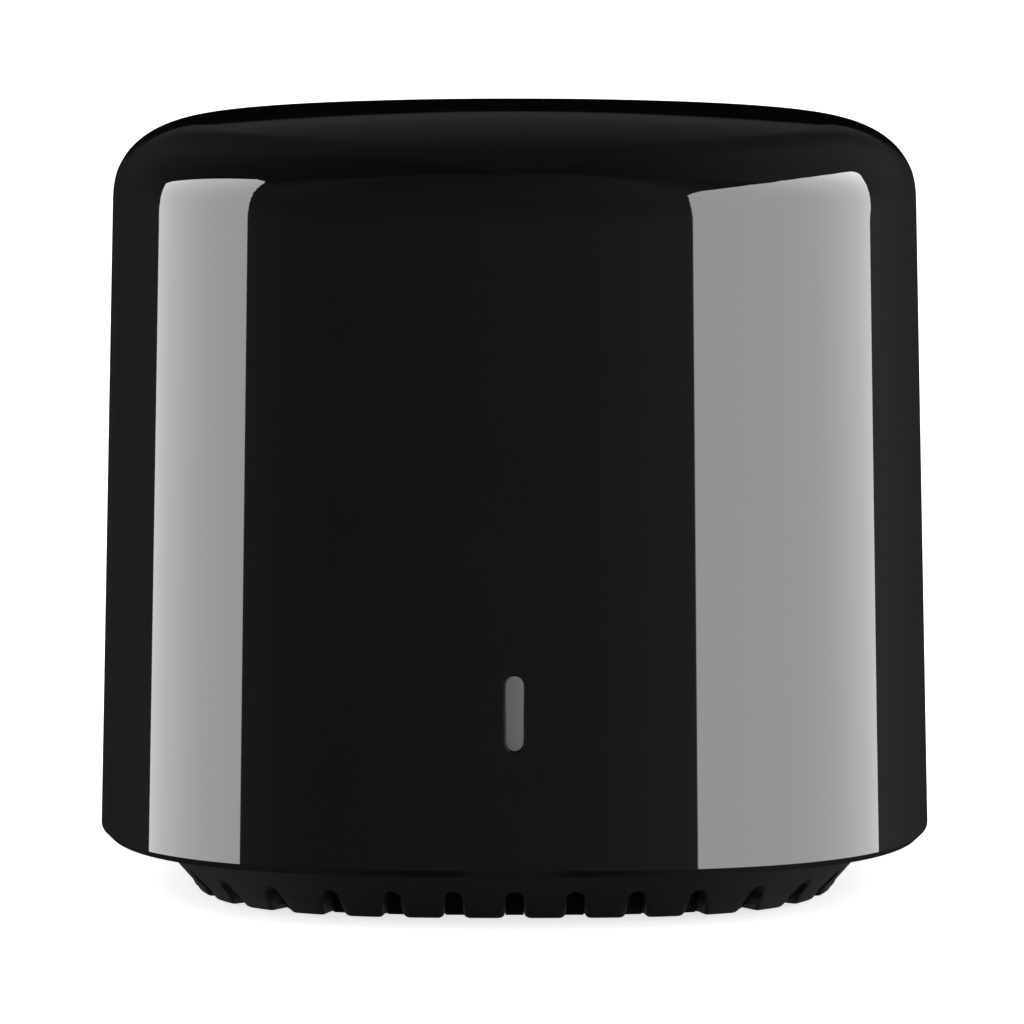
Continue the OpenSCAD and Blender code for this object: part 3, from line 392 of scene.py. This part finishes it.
# Status light guide
# A bar of smoky grey acrylic whose face shows in the front wall. Its flange sits against the inside of
# the wall, and its arm carries the light up from the lamp on the board.
bar_w = 1.0
bar_h = 4.05
bar_z = 12.05
wall = 1.8
edge_z = shell_z + 0.25
shoulder_half = 22.2
shoulder_h = 3.5
shoulder_run = 5.5
crown_h = 0.65
crown_half = shoulder_half - shoulder_run
shoulder_turn = np.pi / 2 - np.arctan(2 * crown_h / crown_half * shoulder_run / shoulder_h)
shoulder_z = body_h - crown_h - shoulder_h * np.sin(shoulder_turn)


def half_at(height):
    """The wall's half width at a height: a straight lean from the lower edge in to the shoulder."""
    return body_half + (shoulder_half - body_half) * (height - edge_z) / (shoulder_z - edge_z)


def wall_depth(x, height, inset=0.0):
    """How far out the front or rear wall's face is at a place: (half^power - |x|^power)^(1 / power)."""
    half = half_at(height) - inset
    return half * (1 - (np.abs(x) / half) ** wall_power) ** (1 / wall_power)


def round_outline(w, h, r, share):
    """Points on a rectangle with round corners. The share counts its sides from 0 to 4, each from the middle
    of one corner's arc to the middle of the next: right, top, left and bottom."""
    side = np.floor(share).astype(int) % 4
    wide = np.where(side % 2 == 0, w, h)
    straight = np.where(side % 2 == 0, h, w) - 2 * r
    along = (share % 1) * (straight + r * np.pi / 2) - r * np.pi / 4
    bend = np.clip(along / r, -np.pi / 4, 0) + np.clip((along - straight) / r, 0, np.pi / 4)
    x = wide / 2 - r + r * np.cos(bend)
    y = np.clip(along, 0, straight) - straight / 2 + r * np.sin(bend)
    turn = side * np.pi / 2
    return np.stack([x * np.cos(turn) - y * np.sin(turn), x * np.sin(turn) + y * np.cos(turn)], -1)


guide_sunk = 0.04
guide_play = 0.1
guide_flange_out = 0.8
guide_flange_t = 0.8
guide_face_y = -half_at(bar_z) + guide_sunk
guide_flange_y = guide_play - (half_at(bar_z + bar_h / 2 + guide_flange_out) - wall)
guide_flange_end = guide_flange_y + guide_flange_t
guide_end_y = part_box("light_pipe")[1].y / MM
guide_foot_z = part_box("light_pipe")[0].z / MM
guide_foot_l = 1.5
guide_arm_w = 1.8
guide_arm_h = 2.2
guide_top_z = bar_z + bar_h / 2
guide_arm_z = guide_top_z - guide_arm_h
guide_flange_w = bar_w + 2 * guide_flange_out
guide_share = np.linspace(0, 4, 64, endpoint=False)
guide_rows = [[0.001, guide_face_y], [bar_w - 0.1, guide_face_y], [bar_w - 0.03, guide_face_y + 0.015],
              [bar_w, guide_face_y + 0.05], [bar_w, guide_flange_y], [guide_flange_w, guide_flange_y],
              [guide_flange_w, guide_flange_end], [0.001, guide_flange_end]]
guide_points = []
for wide, depth in guide_rows:
    flat = round_outline(wide, wide + bar_h - bar_w, wide / 2, guide_share)
    guide_points.append(np.stack([flat[:, 0], np.full(len(flat), depth), flat[:, 1] + bar_z], -1))
guide_side = [[guide_flange_end, guide_top_z], [guide_end_y, guide_top_z], [guide_end_y, guide_foot_z],
              [guide_end_y - guide_foot_l, guide_foot_z], [guide_end_y - guide_foot_l, guide_arm_z],
              [guide_flange_end, guide_arm_z]]
guide_arm = bar(guide_side, -guide_arm_w / 2, guide_arm_w / 2)
guide_arm[[0, 3], :, :2] = [guide_end_y - guide_foot_l / 2, guide_top_z - guide_arm_h / 2]
light_guide = plastic("light_guide", (0.098, 0.098, 0.1), 0.55, 2400, 0.002, spread=0.1, shine=0.12)
guide_grids = [grid(np.stack(guide_points)), grid(guide_arm[..., [2, 0, 1]])]
guide_piece = join("status_light_guide", guide_grids, "housing", light_guide)
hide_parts("light_pipe")

# Power socket
# A micro-USB receptacle soldered to the board: a folded steel shell with its mouth flared a little, a
# moulded tongue, and five gilt contacts under the tongue.
socket_w = 7.5
socket_h = 2.45
socket_slant = 0.75
socket_bend = 0.3
socket_sheet = 0.3
socket_flare = 0.08
socket_mouth = 0.6
socket_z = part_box("usb_socket_shell")[0].z / MM + socket_h / 2
socket_rear_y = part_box("usb_socket_shell")[0].y / MM
socket_face_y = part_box("usb_socket_shell")[1].y / MM


def socket_outline(inset):
    """The sheet's outline with both lower corners cut off, and each corner rounded on a quadratic curve."""
    w = socket_w / 2 - inset
    h = socket_h / 2 - inset
    low = socket_slant - h
    cut = w - socket_slant
    corner = np.array([[-w, h], [w, h], [w, low], [cut, -h], [-cut, -h], [-w, low]])
    before = np.roll(corner, 1, 0) - corner
    after = np.roll(corner, -1, 0) - corner
    start = corner + socket_bend * before / np.linalg.norm(before, axis=1)[:, None]
    end = corner + socket_bend * after / np.linalg.norm(after, axis=1)[:, None]
    t = np.linspace(0, 1, 7)[None, :, None]
    curve = (1 - t) ** 2 * start[:, None] + 2 * t * (1 - t) * corner[:, None] + t ** 2 * end[:, None]
    return curve.reshape(-1, 2)


socket_rows = [[0, socket_rear_y], [0, socket_face_y - socket_mouth],
               [-socket_flare, socket_face_y - 0.2], [-socket_flare, socket_face_y - 0.06],
               [-0.02, socket_face_y], [0.12, socket_face_y], [0.19, socket_face_y - 0.06],
               [socket_sheet - socket_flare, socket_face_y - 0.2],
               [socket_sheet, socket_face_y - socket_mouth], [socket_sheet, socket_rear_y + socket_sheet]]
socket_points = []
for inset, depth in socket_rows:
    flat = socket_outline(inset)
    socket_points.append(np.stack([flat[:, 0], np.full(len(flat), depth), flat[:, 1] + socket_z], -1))
socket_points = [socket_points[0] * [0, 1, 0] + [0, 0, socket_z]] + socket_points
socket_points = socket_points + [socket_points[-1] * [0, 1, 0] + [0, 0, socket_z]]
socket_piece = join("power_socket_shell", [grid(np.stack(socket_points))], "housing",
                    finishes["socket_steel"])
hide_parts("usb_socket_shell")
dress(["usb_tongue", "usb_contacts"])

# Reset button
# A round moulded cap in gloss black, held in the rear wall by its rim and pushed back by the switch's
# plunger behind it. Its mould is polished.
gloss_index = 1.5
rim_limit = 0.06
button_x = 10.5
button_r = 1.7
button_edge_r = 0.25
button_face_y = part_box("reset_button")[1].y / MM
button_stem_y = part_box("reset_button")[0].y / MM
port_z = (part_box("reset_button")[0].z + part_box("reset_button")[1].z) / 2 / MM


def polished(finish):
    """Lays a gloss over a finish, which mirrors more light towards the rim, but only up to a limit."""
    nodes = finish.node_tree.nodes
    links = finish.node_tree.links
    body = nodes["Principled BSDF"]
    mirror = nodes.new("ShaderNodeBsdfGlossy")
    mirror.inputs["Color"].default_value = (1, 1, 1, 1)
    links.new(body.inputs["Roughness"].links[0].from_socket, mirror.inputs["Roughness"])
    rim = nodes.new("ShaderNodeFresnel")
    rim.inputs["IOR"].default_value = gloss_index
    held = nodes.new("ShaderNodeMath")
    held.operation = "MINIMUM"
    held.inputs[1].default_value = rim_limit
    links.new(rim.outputs["Fac"], held.inputs[0])
    both = nodes.new("ShaderNodeMixShader")
    links.new(held.outputs["Value"], both.inputs["Fac"])
    links.new(body.outputs["BSDF"], both.inputs[1])
    links.new(mirror.outputs["BSDF"], both.inputs[2])
    links.new(both.outputs["Shader"], nodes["Material Output"].inputs["Surface"])
    return finish


edge_turn = np.radians([0, 22.5, 45, 67.5, 90])
button_edge = np.stack([button_r - button_edge_r * (1 - np.cos(edge_turn)),
                        button_face_y - button_edge_r * (1 - np.sin(edge_turn))], -1)
button_body = [[0, button_stem_y], [0.7, button_stem_y], [0.8, button_stem_y + 0.1],
               [0.8, button_stem_y + 0.8], [2.35, button_stem_y + 0.8], [2.4, button_stem_y + 0.85],
               [2.4, button_stem_y + 1.25], [2.35, button_stem_y + 1.3], [button_r, button_stem_y + 1.3]]
button_dish = [[0.9, button_face_y - 0.01], [0, button_face_y - 0.03]]
button_profile = np.concatenate([button_body, button_edge, button_dish])
button_points = lathe(button_profile, 72)[..., [0, 2, 1]] + [-button_x, 0, port_z]
button_gloss = polished(plastic("button_gloss", (0.006, 0.006, 0.0063), 0.09, 2600, 0.0008, shine=0.0))
button_piece = join("reset_button_cap", [grid(button_points)], "button", button_gloss)
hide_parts("reset_button")

# Outer shell
# One injection moulding in gloss black plastic that lets infrared through, from a polished mould. Its
# walls lean in as they rise, and its rear wall has the plug's recess and the button's hole.
top_power = 2 / 0.95
shell_columns = 480
shell_turn = np.radians(np.arange(shell_columns) * 360 / shell_columns - 90)
recess_w = 11.4
recess_h = 7.6
recess_r = 2.0
recess_lip = 0.3
recess_depth = 4.5
plate_t = 0.6
recess_y = body_half - recess_depth
plate_y = recess_y - plate_t
plug_w = 8.1
plug_h = 3.05
plug_r = 0.7
hole_w = 3.6
hole_lip = 0.12
bar_gap = 0.1
bar_lip = 0.008
crown_flat = 0.1
bar_gap_w = bar_w + bar_gap
bar_gap_h = bar_h + bar_gap
shoulder_ease = 1.0
shoulder_near = 1.2
window_low_z = 4.7
window_high_z = 15.2
inner_low_z = 4.0
window_z = np.linspace(window_low_z, window_high_z, 31)


def eased(half, height):
    """A half width less a shift that brings the shoulder's bend in evenly over 1 mm below and above its
    start: cubic in the height on each side of it, so that reflections flow over it without a kink."""
    s = np.clip((height - shoulder_z) / shoulder_ease, -1, 1)
    shift = shoulder_ease ** 2 * shoulder_run / (12 * shoulder_h ** 2)
    return half - shift * np.where(s < 0, (1 + s) ** 3, 2 - (1 - s) ** 3)


def shoulder_rings(turn, inset):
    """Rings over the shoulder, part of an ellipse in section, with a plan that rounds with 1 - cos(turn)."""
    run = shoulder_run - inset
    rise = (body_h - inset - crown_h - shoulder_z) / np.sin(shoulder_turn)
    power = wall_power + (top_power - wall_power) * (1 - np.cos(turn))
    height = shoulder_z + rise * np.sin(turn)
    return np.stack([eased(shoulder_half - inset - run * (1 - np.cos(turn)), height), power, height], -1)


def crown_rings(share, inset):
    """Rings over the crown, a parabola in section that is flat in its middle tenth."""
    half, power, height = shoulder_rings(np.array([shoulder_turn]), inset)[0]
    flat = crown_flat ** 2
    drop = crown_h * (np.maximum(share ** 2, flat) - flat) / (1 - flat)
    return np.stack([half * share, np.full(len(share), power), body_h - inset - drop], -1)


def wall_rings(heights, inset):
    """Rings up the leaning wall."""
    half = eased(half_at(heights) - inset, heights)
    return np.stack([half, np.full(len(heights), wall_power), heights], -1)


edge_drop = 0.14
edge_in = 0.39
chamfer_in = 0.21
chamfer_rise = 0.18
edge_break = 0.03
edge_rings = np.array([[body_half - edge_in, wall_power, shell_z - edge_drop],
                       [body_half - chamfer_in, wall_power, shell_z - edge_drop + chamfer_rise],
                       [body_half - edge_break, wall_power, edge_z - edge_break]])
outer_rings = np.concatenate([
    edge_rings,
    wall_rings(np.linspace(edge_z, window_low_z, 4)[:-1], 0),
    wall_rings(window_z, 0),
    wall_rings(np.linspace(window_high_z, shoulder_z - shoulder_near, 16)[1:], 0),
    wall_rings(np.linspace(shoulder_z - shoulder_near, shoulder_z, 8)[1:], 0),
    shoulder_rings(np.linspace(0, shoulder_turn, 37)[1:], 0),
    crown_rings(np.linspace(1, 0, 15)[1:], 0),
])
inner_rings = np.concatenate([
    edge_rings[:1],
    wall_rings(np.array([shell_z, inner_low_z]), wall),
    wall_rings(window_z, wall),
    wall_rings(np.linspace(window_high_z, shoulder_z, 6)[1:], wall),
    shoulder_rings(np.linspace(0, shoulder_turn, 9)[1:], wall),
    crown_rings(np.linspace(1, 0, 5)[1:], wall),
])
outer_wall = rings(outer_rings, shell_turn)
inner_wall = rings(inner_rings, shell_turn)

# How many rings of each wall lie below the windows
outer_low = 6
inner_low = 3


def edge_loop(points, window, low):
    """Grid points round a window, from its lower corner at the last column: up, back, down and along, and
    how many sides each is on its way."""
    first, last, bottom, top = window
    tall = top - bottom
    broad = last - first
    rows = np.arange(bottom, top + 1) + low
    columns = np.arange(first, last + 1)
    row = np.concatenate([rows[:-1], np.full(broad, rows[-1]), rows[:0:-1], np.full(broad, rows[0])])
    column = np.concatenate([np.full(tall, last), columns[:0:-1], np.full(tall, first), columns[:-1]])
    up = np.arange(tall) / tall
    along = np.arange(broad) / broad
    return points[row, column % shell_columns], np.concatenate([up, 1 + along, 2 + up, 3 + along])


def opening(window, side, x, z, size, lip, rows):
    """Loops from a window in the outer wall in through the wall. On the wall's face the window blends into
    the opening's outline, which turns in on a quarter circle and follows the given rows of (w, h, r, y)."""
    loop, share = edge_loop(outer_wall, window, outer_low)
    back = edge_loop(inner_wall, window, inner_low)[0]

    def placed(w, h, r):
        """The outline's points as x and z on the wall."""
        return round_outline(w, h, r, share) * [-side, 1] + [x, z]

    w, h, r = size
    points = []
    wide = placed(w + 2 * lip, h + 2 * lip, r + lip)
    for blend in (0, 0.2, 0.4, 0.6, 0.8):
        flat = (1 - blend) * loop[:, [0, 2]] + blend * wide
        points.append(np.stack([flat[:, 0], side * wall_depth(flat[:, 0], flat[:, 1]), flat[:, 1]], -1))
    for bend in np.radians([0, 22.5, 45, 67.5, 90]):
        grow = lip * (1 - np.sin(bend))
        flat = placed(w + 2 * grow, h + 2 * grow, r + grow)
        depth = wall_depth(flat[:, 0], flat[:, 1]) - lip * (1 - np.cos(bend))
        points.append(np.stack([flat[:, 0], side * depth, flat[:, 1]], -1))
    for w, h, r, depth in rows:
        flat = placed(w, h, r)
        depth = wall_depth(flat[:, 0], flat[:, 1], wall) if depth is None else np.full(len(flat), depth)
        points.append(np.stack([flat[:, 0], side * depth, flat[:, 1]], -1))
    return np.stack(points + [back])


def walled(points, low, windows):
    """The grid's quads without those inside the windows."""
    keep = np.ones((points.shape[0] - 1, points.shape[1]), bool)
    for first, last, bottom, top in windows:
        keep[bottom + low:top + low, np.arange(first, last) % shell_columns] = False
    return points, quads(points.shape[0], points.shape[1])[keep.ravel()]


# A window is its first and last column and its bottom and top row in the wall's grid
recess_window = (215, 265, 0, 30)
button_window = (267, 284, 7, 22)
bar_window = (-5, 5, 13, 29)
windows = [recess_window, button_window, bar_window]
recess_rows = [(recess_w, recess_h, recess_r, recess_y + 0.25),
               (recess_w - 0.15, recess_h - 0.15, recess_r - 0.08, recess_y + 0.07),
               (recess_w - 0.5, recess_h - 0.5, recess_r - 0.25, recess_y),
               (plug_w + 0.2, plug_h + 0.2, plug_r + 0.1, recess_y),
               (plug_w + 0.05, plug_h + 0.05, plug_r + 0.03, recess_y - 0.03),
               (plug_w, plug_h, plug_r, recess_y - 0.1),
               (plug_w, plug_h, plug_r, plate_y),
               (recess_w + 2, recess_h + 2, recess_r + 1, plate_y),
               (recess_w + 2, recess_h + 2, recess_r + 1, None)]
shell_plastic = plastic("shell_gloss", (0.0015, 0.0015, 0.0016), 0.025, 900, 0.0, spread=0.2, shine=0.0)
shell_gloss = polished(shell_plastic)
shell_grids = [
    walled(outer_wall, outer_low, windows),
    walled(inner_wall, inner_low, windows),
    grid(opening(recess_window, 1, 0, port_z, (recess_w, recess_h, recess_r), recess_lip, recess_rows)),
    grid(opening(button_window, 1, -button_x, port_z, (hole_w, hole_w, hole_w / 2), hole_lip,
                 [(hole_w, hole_w, hole_w / 2, None)])),
    grid(opening(bar_window, -1, 0, bar_z, (bar_gap_w, bar_gap_h, bar_gap_w / 2), bar_lip,
                 [(bar_gap_w, bar_gap_h, bar_gap_w / 2, None)])),
]
shell_piece = join("gloss_outer_shell", shell_grids, "housing", shell_gloss, smooth_turn=40)
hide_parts("outer_shell")

# Floor and studio
# A flat white floor, and two tall softboxes left and right of the object with black cloth all round it,
# so that the gloss walls show two sharp pale bands in black. Both are brighter where the walls' rims
# mirror them in the front view, because the gloss mirrors less there than a real one does.
ground_z = -0.02 * MM
ground_turn = -np.linspace(0, 2 * np.pi, 96, endpoint=False)
ground_radius = np.array([0, 0.1, 0.5, 2, 6])[:, None]
ground_x = ground_radius * np.cos(ground_turn)
ground_y = ground_radius * np.sin(ground_turn)
ground_points = np.stack(np.broadcast_arrays(ground_x, ground_y, ground_z), -1)


def studio_mesh(name, points, faces, finish, glow=None):
    """A stage mesh in metres, whose glow, if it has one, is an attribute that its finish reads."""
    mesh = bpy.data.meshes.new(name)
    mesh.from_pydata(points.reshape(-1, 3).tolist(), [], faces.tolist())
    if glow is not None:
        layer = mesh.attributes.new("glow", "FLOAT", "POINT")
        layer.data.foreach_set("value", glow.ravel().astype(np.float32))
    mesh.shade_smooth()
    mesh.materials.append(finish)
    piece = bpy.data.objects.new(name, mesh)
    bpy.context.scene.collection.objects.link(piece)
    return piece


# White paper that glows for the camera only and is clear from below
ground_glow = 0.75
floor_finish = bpy.data.materials.new("white_floor")
floor_finish.use_nodes = True
floor_nodes = floor_finish.node_tree.nodes
floor_links = floor_finish.node_tree.links
floor_nodes.remove(floor_nodes["Principled BSDF"])
floor_paper = floor_nodes.new("ShaderNodeBsdfDiffuse")
floor_paper.inputs["Color"].default_value = (0.9, 0.9, 0.9, 1)
floor_shine = floor_nodes.new("ShaderNodeEmission")
floor_shine.inputs["Strength"].default_value = ground_glow
floor_path = floor_nodes.new("ShaderNodeLightPath")
floor_none = floor_nodes.new("ShaderNodeBsdfTransparent")
floor_none.inputs["Color"].default_value = (0, 0, 0, 1)
floor_seen = floor_nodes.new("ShaderNodeMixShader")
floor_links.new(floor_path.outputs["Is Camera Ray"], floor_seen.inputs["Fac"])
floor_links.new(floor_none.outputs["BSDF"], floor_seen.inputs[1])
floor_links.new(floor_shine.outputs["Emission"], floor_seen.inputs[2])
floor_both = floor_nodes.new("ShaderNodeAddShader")
floor_links.new(floor_paper.outputs["BSDF"], floor_both.inputs[0])
floor_links.new(floor_seen.outputs["Shader"], floor_both.inputs[1])
floor_side = floor_nodes.new("ShaderNodeNewGeometry")
floor_clear = floor_nodes.new("ShaderNodeBsdfTransparent")
floor_mix = floor_nodes.new("ShaderNodeMixShader")
floor_links.new(floor_side.outputs["Backfacing"], floor_mix.inputs["Fac"])
floor_links.new(floor_both.outputs["Shader"], floor_mix.inputs[1])
floor_links.new(floor_clear.outputs["BSDF"], floor_mix.inputs[2])
floor_links.new(floor_mix.outputs["Shader"], floor_nodes["Material Output"].inputs["Surface"])
floor = studio_mesh("floor", ground_points, quads(*ground_points.shape[:2]), floor_finish)
floor.visible_glossy = False


def sky(azimuth, elevation, distance):
    """Points at a distance in the given directions: azimuth from the front towards +X, and elevation."""
    return distance * np.stack([np.sin(azimuth) * np.cos(elevation), -np.cos(azimuth) * np.cos(elevation),
                                np.sin(elevation) + 0 * azimuth], -1)


def lamp_finish(name):
    """Light that is the same from every side, as strong as the mesh's glow."""
    finish = bpy.data.materials.new(name)
    finish.use_nodes = True
    nodes = finish.node_tree.nodes
    nodes.remove(nodes["Principled BSDF"])
    light = nodes.new("ShaderNodeEmission")
    glow = nodes.new("ShaderNodeAttribute")
    glow.attribute_name = "glow"
    finish.node_tree.links.new(glow.outputs["Fac"], light.inputs["Strength"])
    finish.node_tree.links.new(light.outputs["Emission"], nodes["Material Output"].inputs["Surface"])
    return finish


def reflected_only(piece):
    """Leaves a stage mesh to the glossy rays."""
    piece.visible_camera = False
    piece.visible_diffuse = False
    piece.visible_transmission = False
    piece.visible_volume_scatter = False
    piece.visible_shadow = False


def rim_gain(way):
    """How far Fresnel's share passes the gloss's limit in the front view, at least 1, for an index n. With c
    the cosine of the angle of incidence, sqrt((1 - view . way) / 2), and t = sqrt(1 - (1 - c^2) / n^2), the
    share is half of ((c - n t) / (c + n t))^2 + ((t - n c) / (t + n c))^2."""
    n = gloss_index
    c = np.sqrt((1 - way @ front_view) / 2)
    t = np.sqrt(1 - (1 - c ** 2) / n ** 2)
    share = (((c - n * t) / (c + n * t)) ** 2 + ((t - n * c) / (t + n * c)) ** 2) / 2
    return np.maximum(share / rim_limit, 1)


def cross_fade(one, other, share):
    """From one value to the other, eased at both ends: s^2 (3 - 2 s) of the share, held from 0 to 1."""
    share = np.clip(share, 0, 1)
    return one + (other - one) * share ** 2 * (3 - 2 * share)


def bell(azimuth, middle, width):
    """A bell curve round an azimuth: exp(-((azimuth - middle) / width)^2)."""
    return np.exp(-((azimuth - middle) / width) ** 2)


def cloth_spill(azimuth, elevation):
    """The cloth's glow in a direction, in degrees. In front it is a level with two bells, which fades with
    the elevation. At the sides it fades round the back, and over 20 degrees of elevation it turns into one
    that grows with the distance from the middle. Behind it goes by the elevation only."""
    front = 0.128 + 0.122 * bell(azimuth, 25, 21) + 0.055 * bell(azimuth, -57, 14)
    front = front * np.interp(elevation, [0, 12, 52, 75, 90], [1, 0.78, 0.78, 0.6, 0.45])
    round_back = np.exp(-(np.maximum(np.abs(azimuth) - 112, 0) / 28) ** 1.5)
    low_side = 0.016 + np.where(azimuth > 0, 0.258, 0.128) * round_back
    east = np.sin(np.radians(azimuth)) * np.cos(np.radians(elevation))
    upness = np.clip(elevation / 60, 0, 1)
    high_right = 0.028 + east * (0.12 + 0.15 * upness)
    high_left = 0.03 - 0.006 * upness - east * (0.075 - 0.035 * upness)
    side = cross_fade(low_side, np.where(east > 0, high_right, high_left), elevation / 20)
    behind = np.interp(elevation, [-40, -20, 5.6, 6, 6.5, 7.2, 8, 9.3, 10.5, 12.5, 35, 60],
                       [0.085, 0, 0, 0.038, 0.043, 0.042, 0.037, 0.03, 0.026, 0.019, 0.028, 0.048])
    glow = np.where(np.abs(azimuth) < 90, front, side)
    return cross_fade(glow, behind, (np.abs(azimuth) - 168) / 8)


front_view = [0, 0.9939, -0.1102]
cloth_far = 9.0
cloth_azimuth = np.linspace(-180, 180, 181)[None, :]
cloth_up = np.concatenate([np.linspace(-90, 4, 48), np.linspace(4.5, 14, 39), np.linspace(16, 90, 38)])
cloth_up = cloth_up[:, None]
cloth_points = sky(np.radians(cloth_azimuth), np.radians(cloth_up), cloth_far)
cloth_glow = cloth_spill(cloth_azimuth, cloth_up) * rim_gain(cloth_points / cloth_far)
cloth_faces = quads(cloth_points.shape[0], cloth_points.shape[1], closed=False)
reflected_only(studio_mesh("black_cloth", cloth_points, cloth_faces, lamp_finish("black_cloth"), cloth_glow))

# Each softbox has a left and a right edge, whose azimuths go by the elevation, all in degrees
box_far = 8.5
box_strength = 7.2
box_columns = 33
box_up = np.concatenate([np.linspace(-60, -8, 14), np.linspace(-6, 57, 85), np.linspace(57.5, 60.6, 18)])
left_edges = [np.interp(box_up, [0, 5, 12, 18.5, 22, 24.5, 27, 31, 37, 43, 48, 52.5, 55, 57.7, 59.5, 60.6],
                        [-115, -115, -116.6, -119.6, -122.2, -124.6, -127.2, -128.3, -126.9, -125.3, -123.1,
                         -120, -117.5, -114, -111.2, -100.2]),
              np.interp(box_up, [0, 8, 14, 24.5, 36, 47, 53, 56, 59, 60.6],
                        [-58.3, -58.4, -58.9, -60.9, -65.1, -73, -80.3, -85.8, -92.5, -100.2])]
right_edges = [np.interp(box_up, [0, 10, 19, 30, 41.5, 47, 52, 53.5, 56.7, 58.4, 59.7, 60],
                         [25.4, 25.4, 25.7, 26.9, 29.2, 33, 39.1, 42.8, 52.9, 61.5, 73, 80]),
               np.interp(box_up, [-6, 0, 5, 11, 17.7, 21.3, 23.5, 25.6, 27.5, 29, 32, 34, 38, 45.5, 52, 57,
                                  59.4, 60],
                         [113.8, 115.6, 116.2, 117.7, 120.8, 123.6, 125.9, 128.4, 131, 133.8, 143.5, 144.5,
                          141.3, 132.8, 122.1, 107.6, 89, 80])]
box_light = lamp_finish("softbox")
for name, edges in (("left_softbox", left_edges), ("right_softbox", right_edges)):
    share = np.linspace(0, 1, box_columns)[None, :]
    azimuth = edges[0][:, None] * (1 - share) + edges[1][:, None] * share
    box_points = sky(np.radians(azimuth), np.radians(box_up[:, None]), box_far)
    box_glow = box_strength * rim_gain(box_points / box_far)
    box_faces = quads(len(box_up), box_columns, closed=False)
    reflected_only(studio_mesh(name, box_points, box_faces, box_light, box_glow))

# Daylight and camera
# Even white light from all round, and two broad lamps that shade the satin foot. The camera stands
# half a metre in front of the object and a little above its top, and looks slightly down.
lamp_far = 1.3
camera_tilt = 0.110396
day_light = 0.6
day_seen = 1.0
world = bpy.data.worlds.new("daylight")
bpy.context.scene.world = world
world.use_nodes = True
day = world.node_tree.nodes["Background"]
day.inputs["Color"].default_value = (1, 1, 1, 1)
day_path = world.node_tree.nodes.new("ShaderNodeLightPath")
seen = day_path.outputs["Is Camera Ray"]
for other in ("Is Glossy Ray", "Is Transmission Ray"):
    either = world.node_tree.nodes.new("ShaderNodeMath")
    either.operation = "MAXIMUM"
    world.node_tree.links.new(seen, either.inputs[0])
    world.node_tree.links.new(day_path.outputs[other], either.inputs[1])
    seen = either.outputs["Value"]
day_level = world.node_tree.nodes.new("ShaderNodeMapRange")
day_level.inputs["To Min"].default_value = day_light
day_level.inputs["To Max"].default_value = day_seen
world.node_tree.links.new(seen, day_level.inputs["Value"])
world.node_tree.links.new(day_level.outputs["Result"], day.inputs["Strength"])

for name, azimuth, elevation, power in (("lamp_left", -70, 35, 7.0), ("lamp_right", 60, 35, 9.0)):
    light = bpy.data.lights.new(name, "AREA")
    light.shape = "SQUARE"
    light.size = 1.0
    light.energy = power
    lamp = bpy.data.objects.new(name, light)
    bpy.context.scene.collection.objects.link(lamp)
    lamp.location = sky(np.radians(np.array(azimuth)), np.radians(np.array(elevation)), lamp_far)
    lamp.rotation_euler = (np.radians(90 - elevation), 0, np.radians(azimuth))
    lamp.visible_glossy = False

lens = bpy.data.cameras.new("camera")
lens.lens = 320.39
lens.sensor_width = 36
lens.clip_start = 0.02
lens.clip_end = 30
camera = bpy.data.objects.new("camera", lens)
camera.location = (-0.0001407, -0.5055006, 0.076411)
camera.rotation_euler = (np.pi / 2 - camera_tilt, 0, 0)
bpy.context.scene.collection.objects.link(camera)
bpy.context.scene.camera = camera
bpy.context.scene.view_settings.view_transform = "Standard"
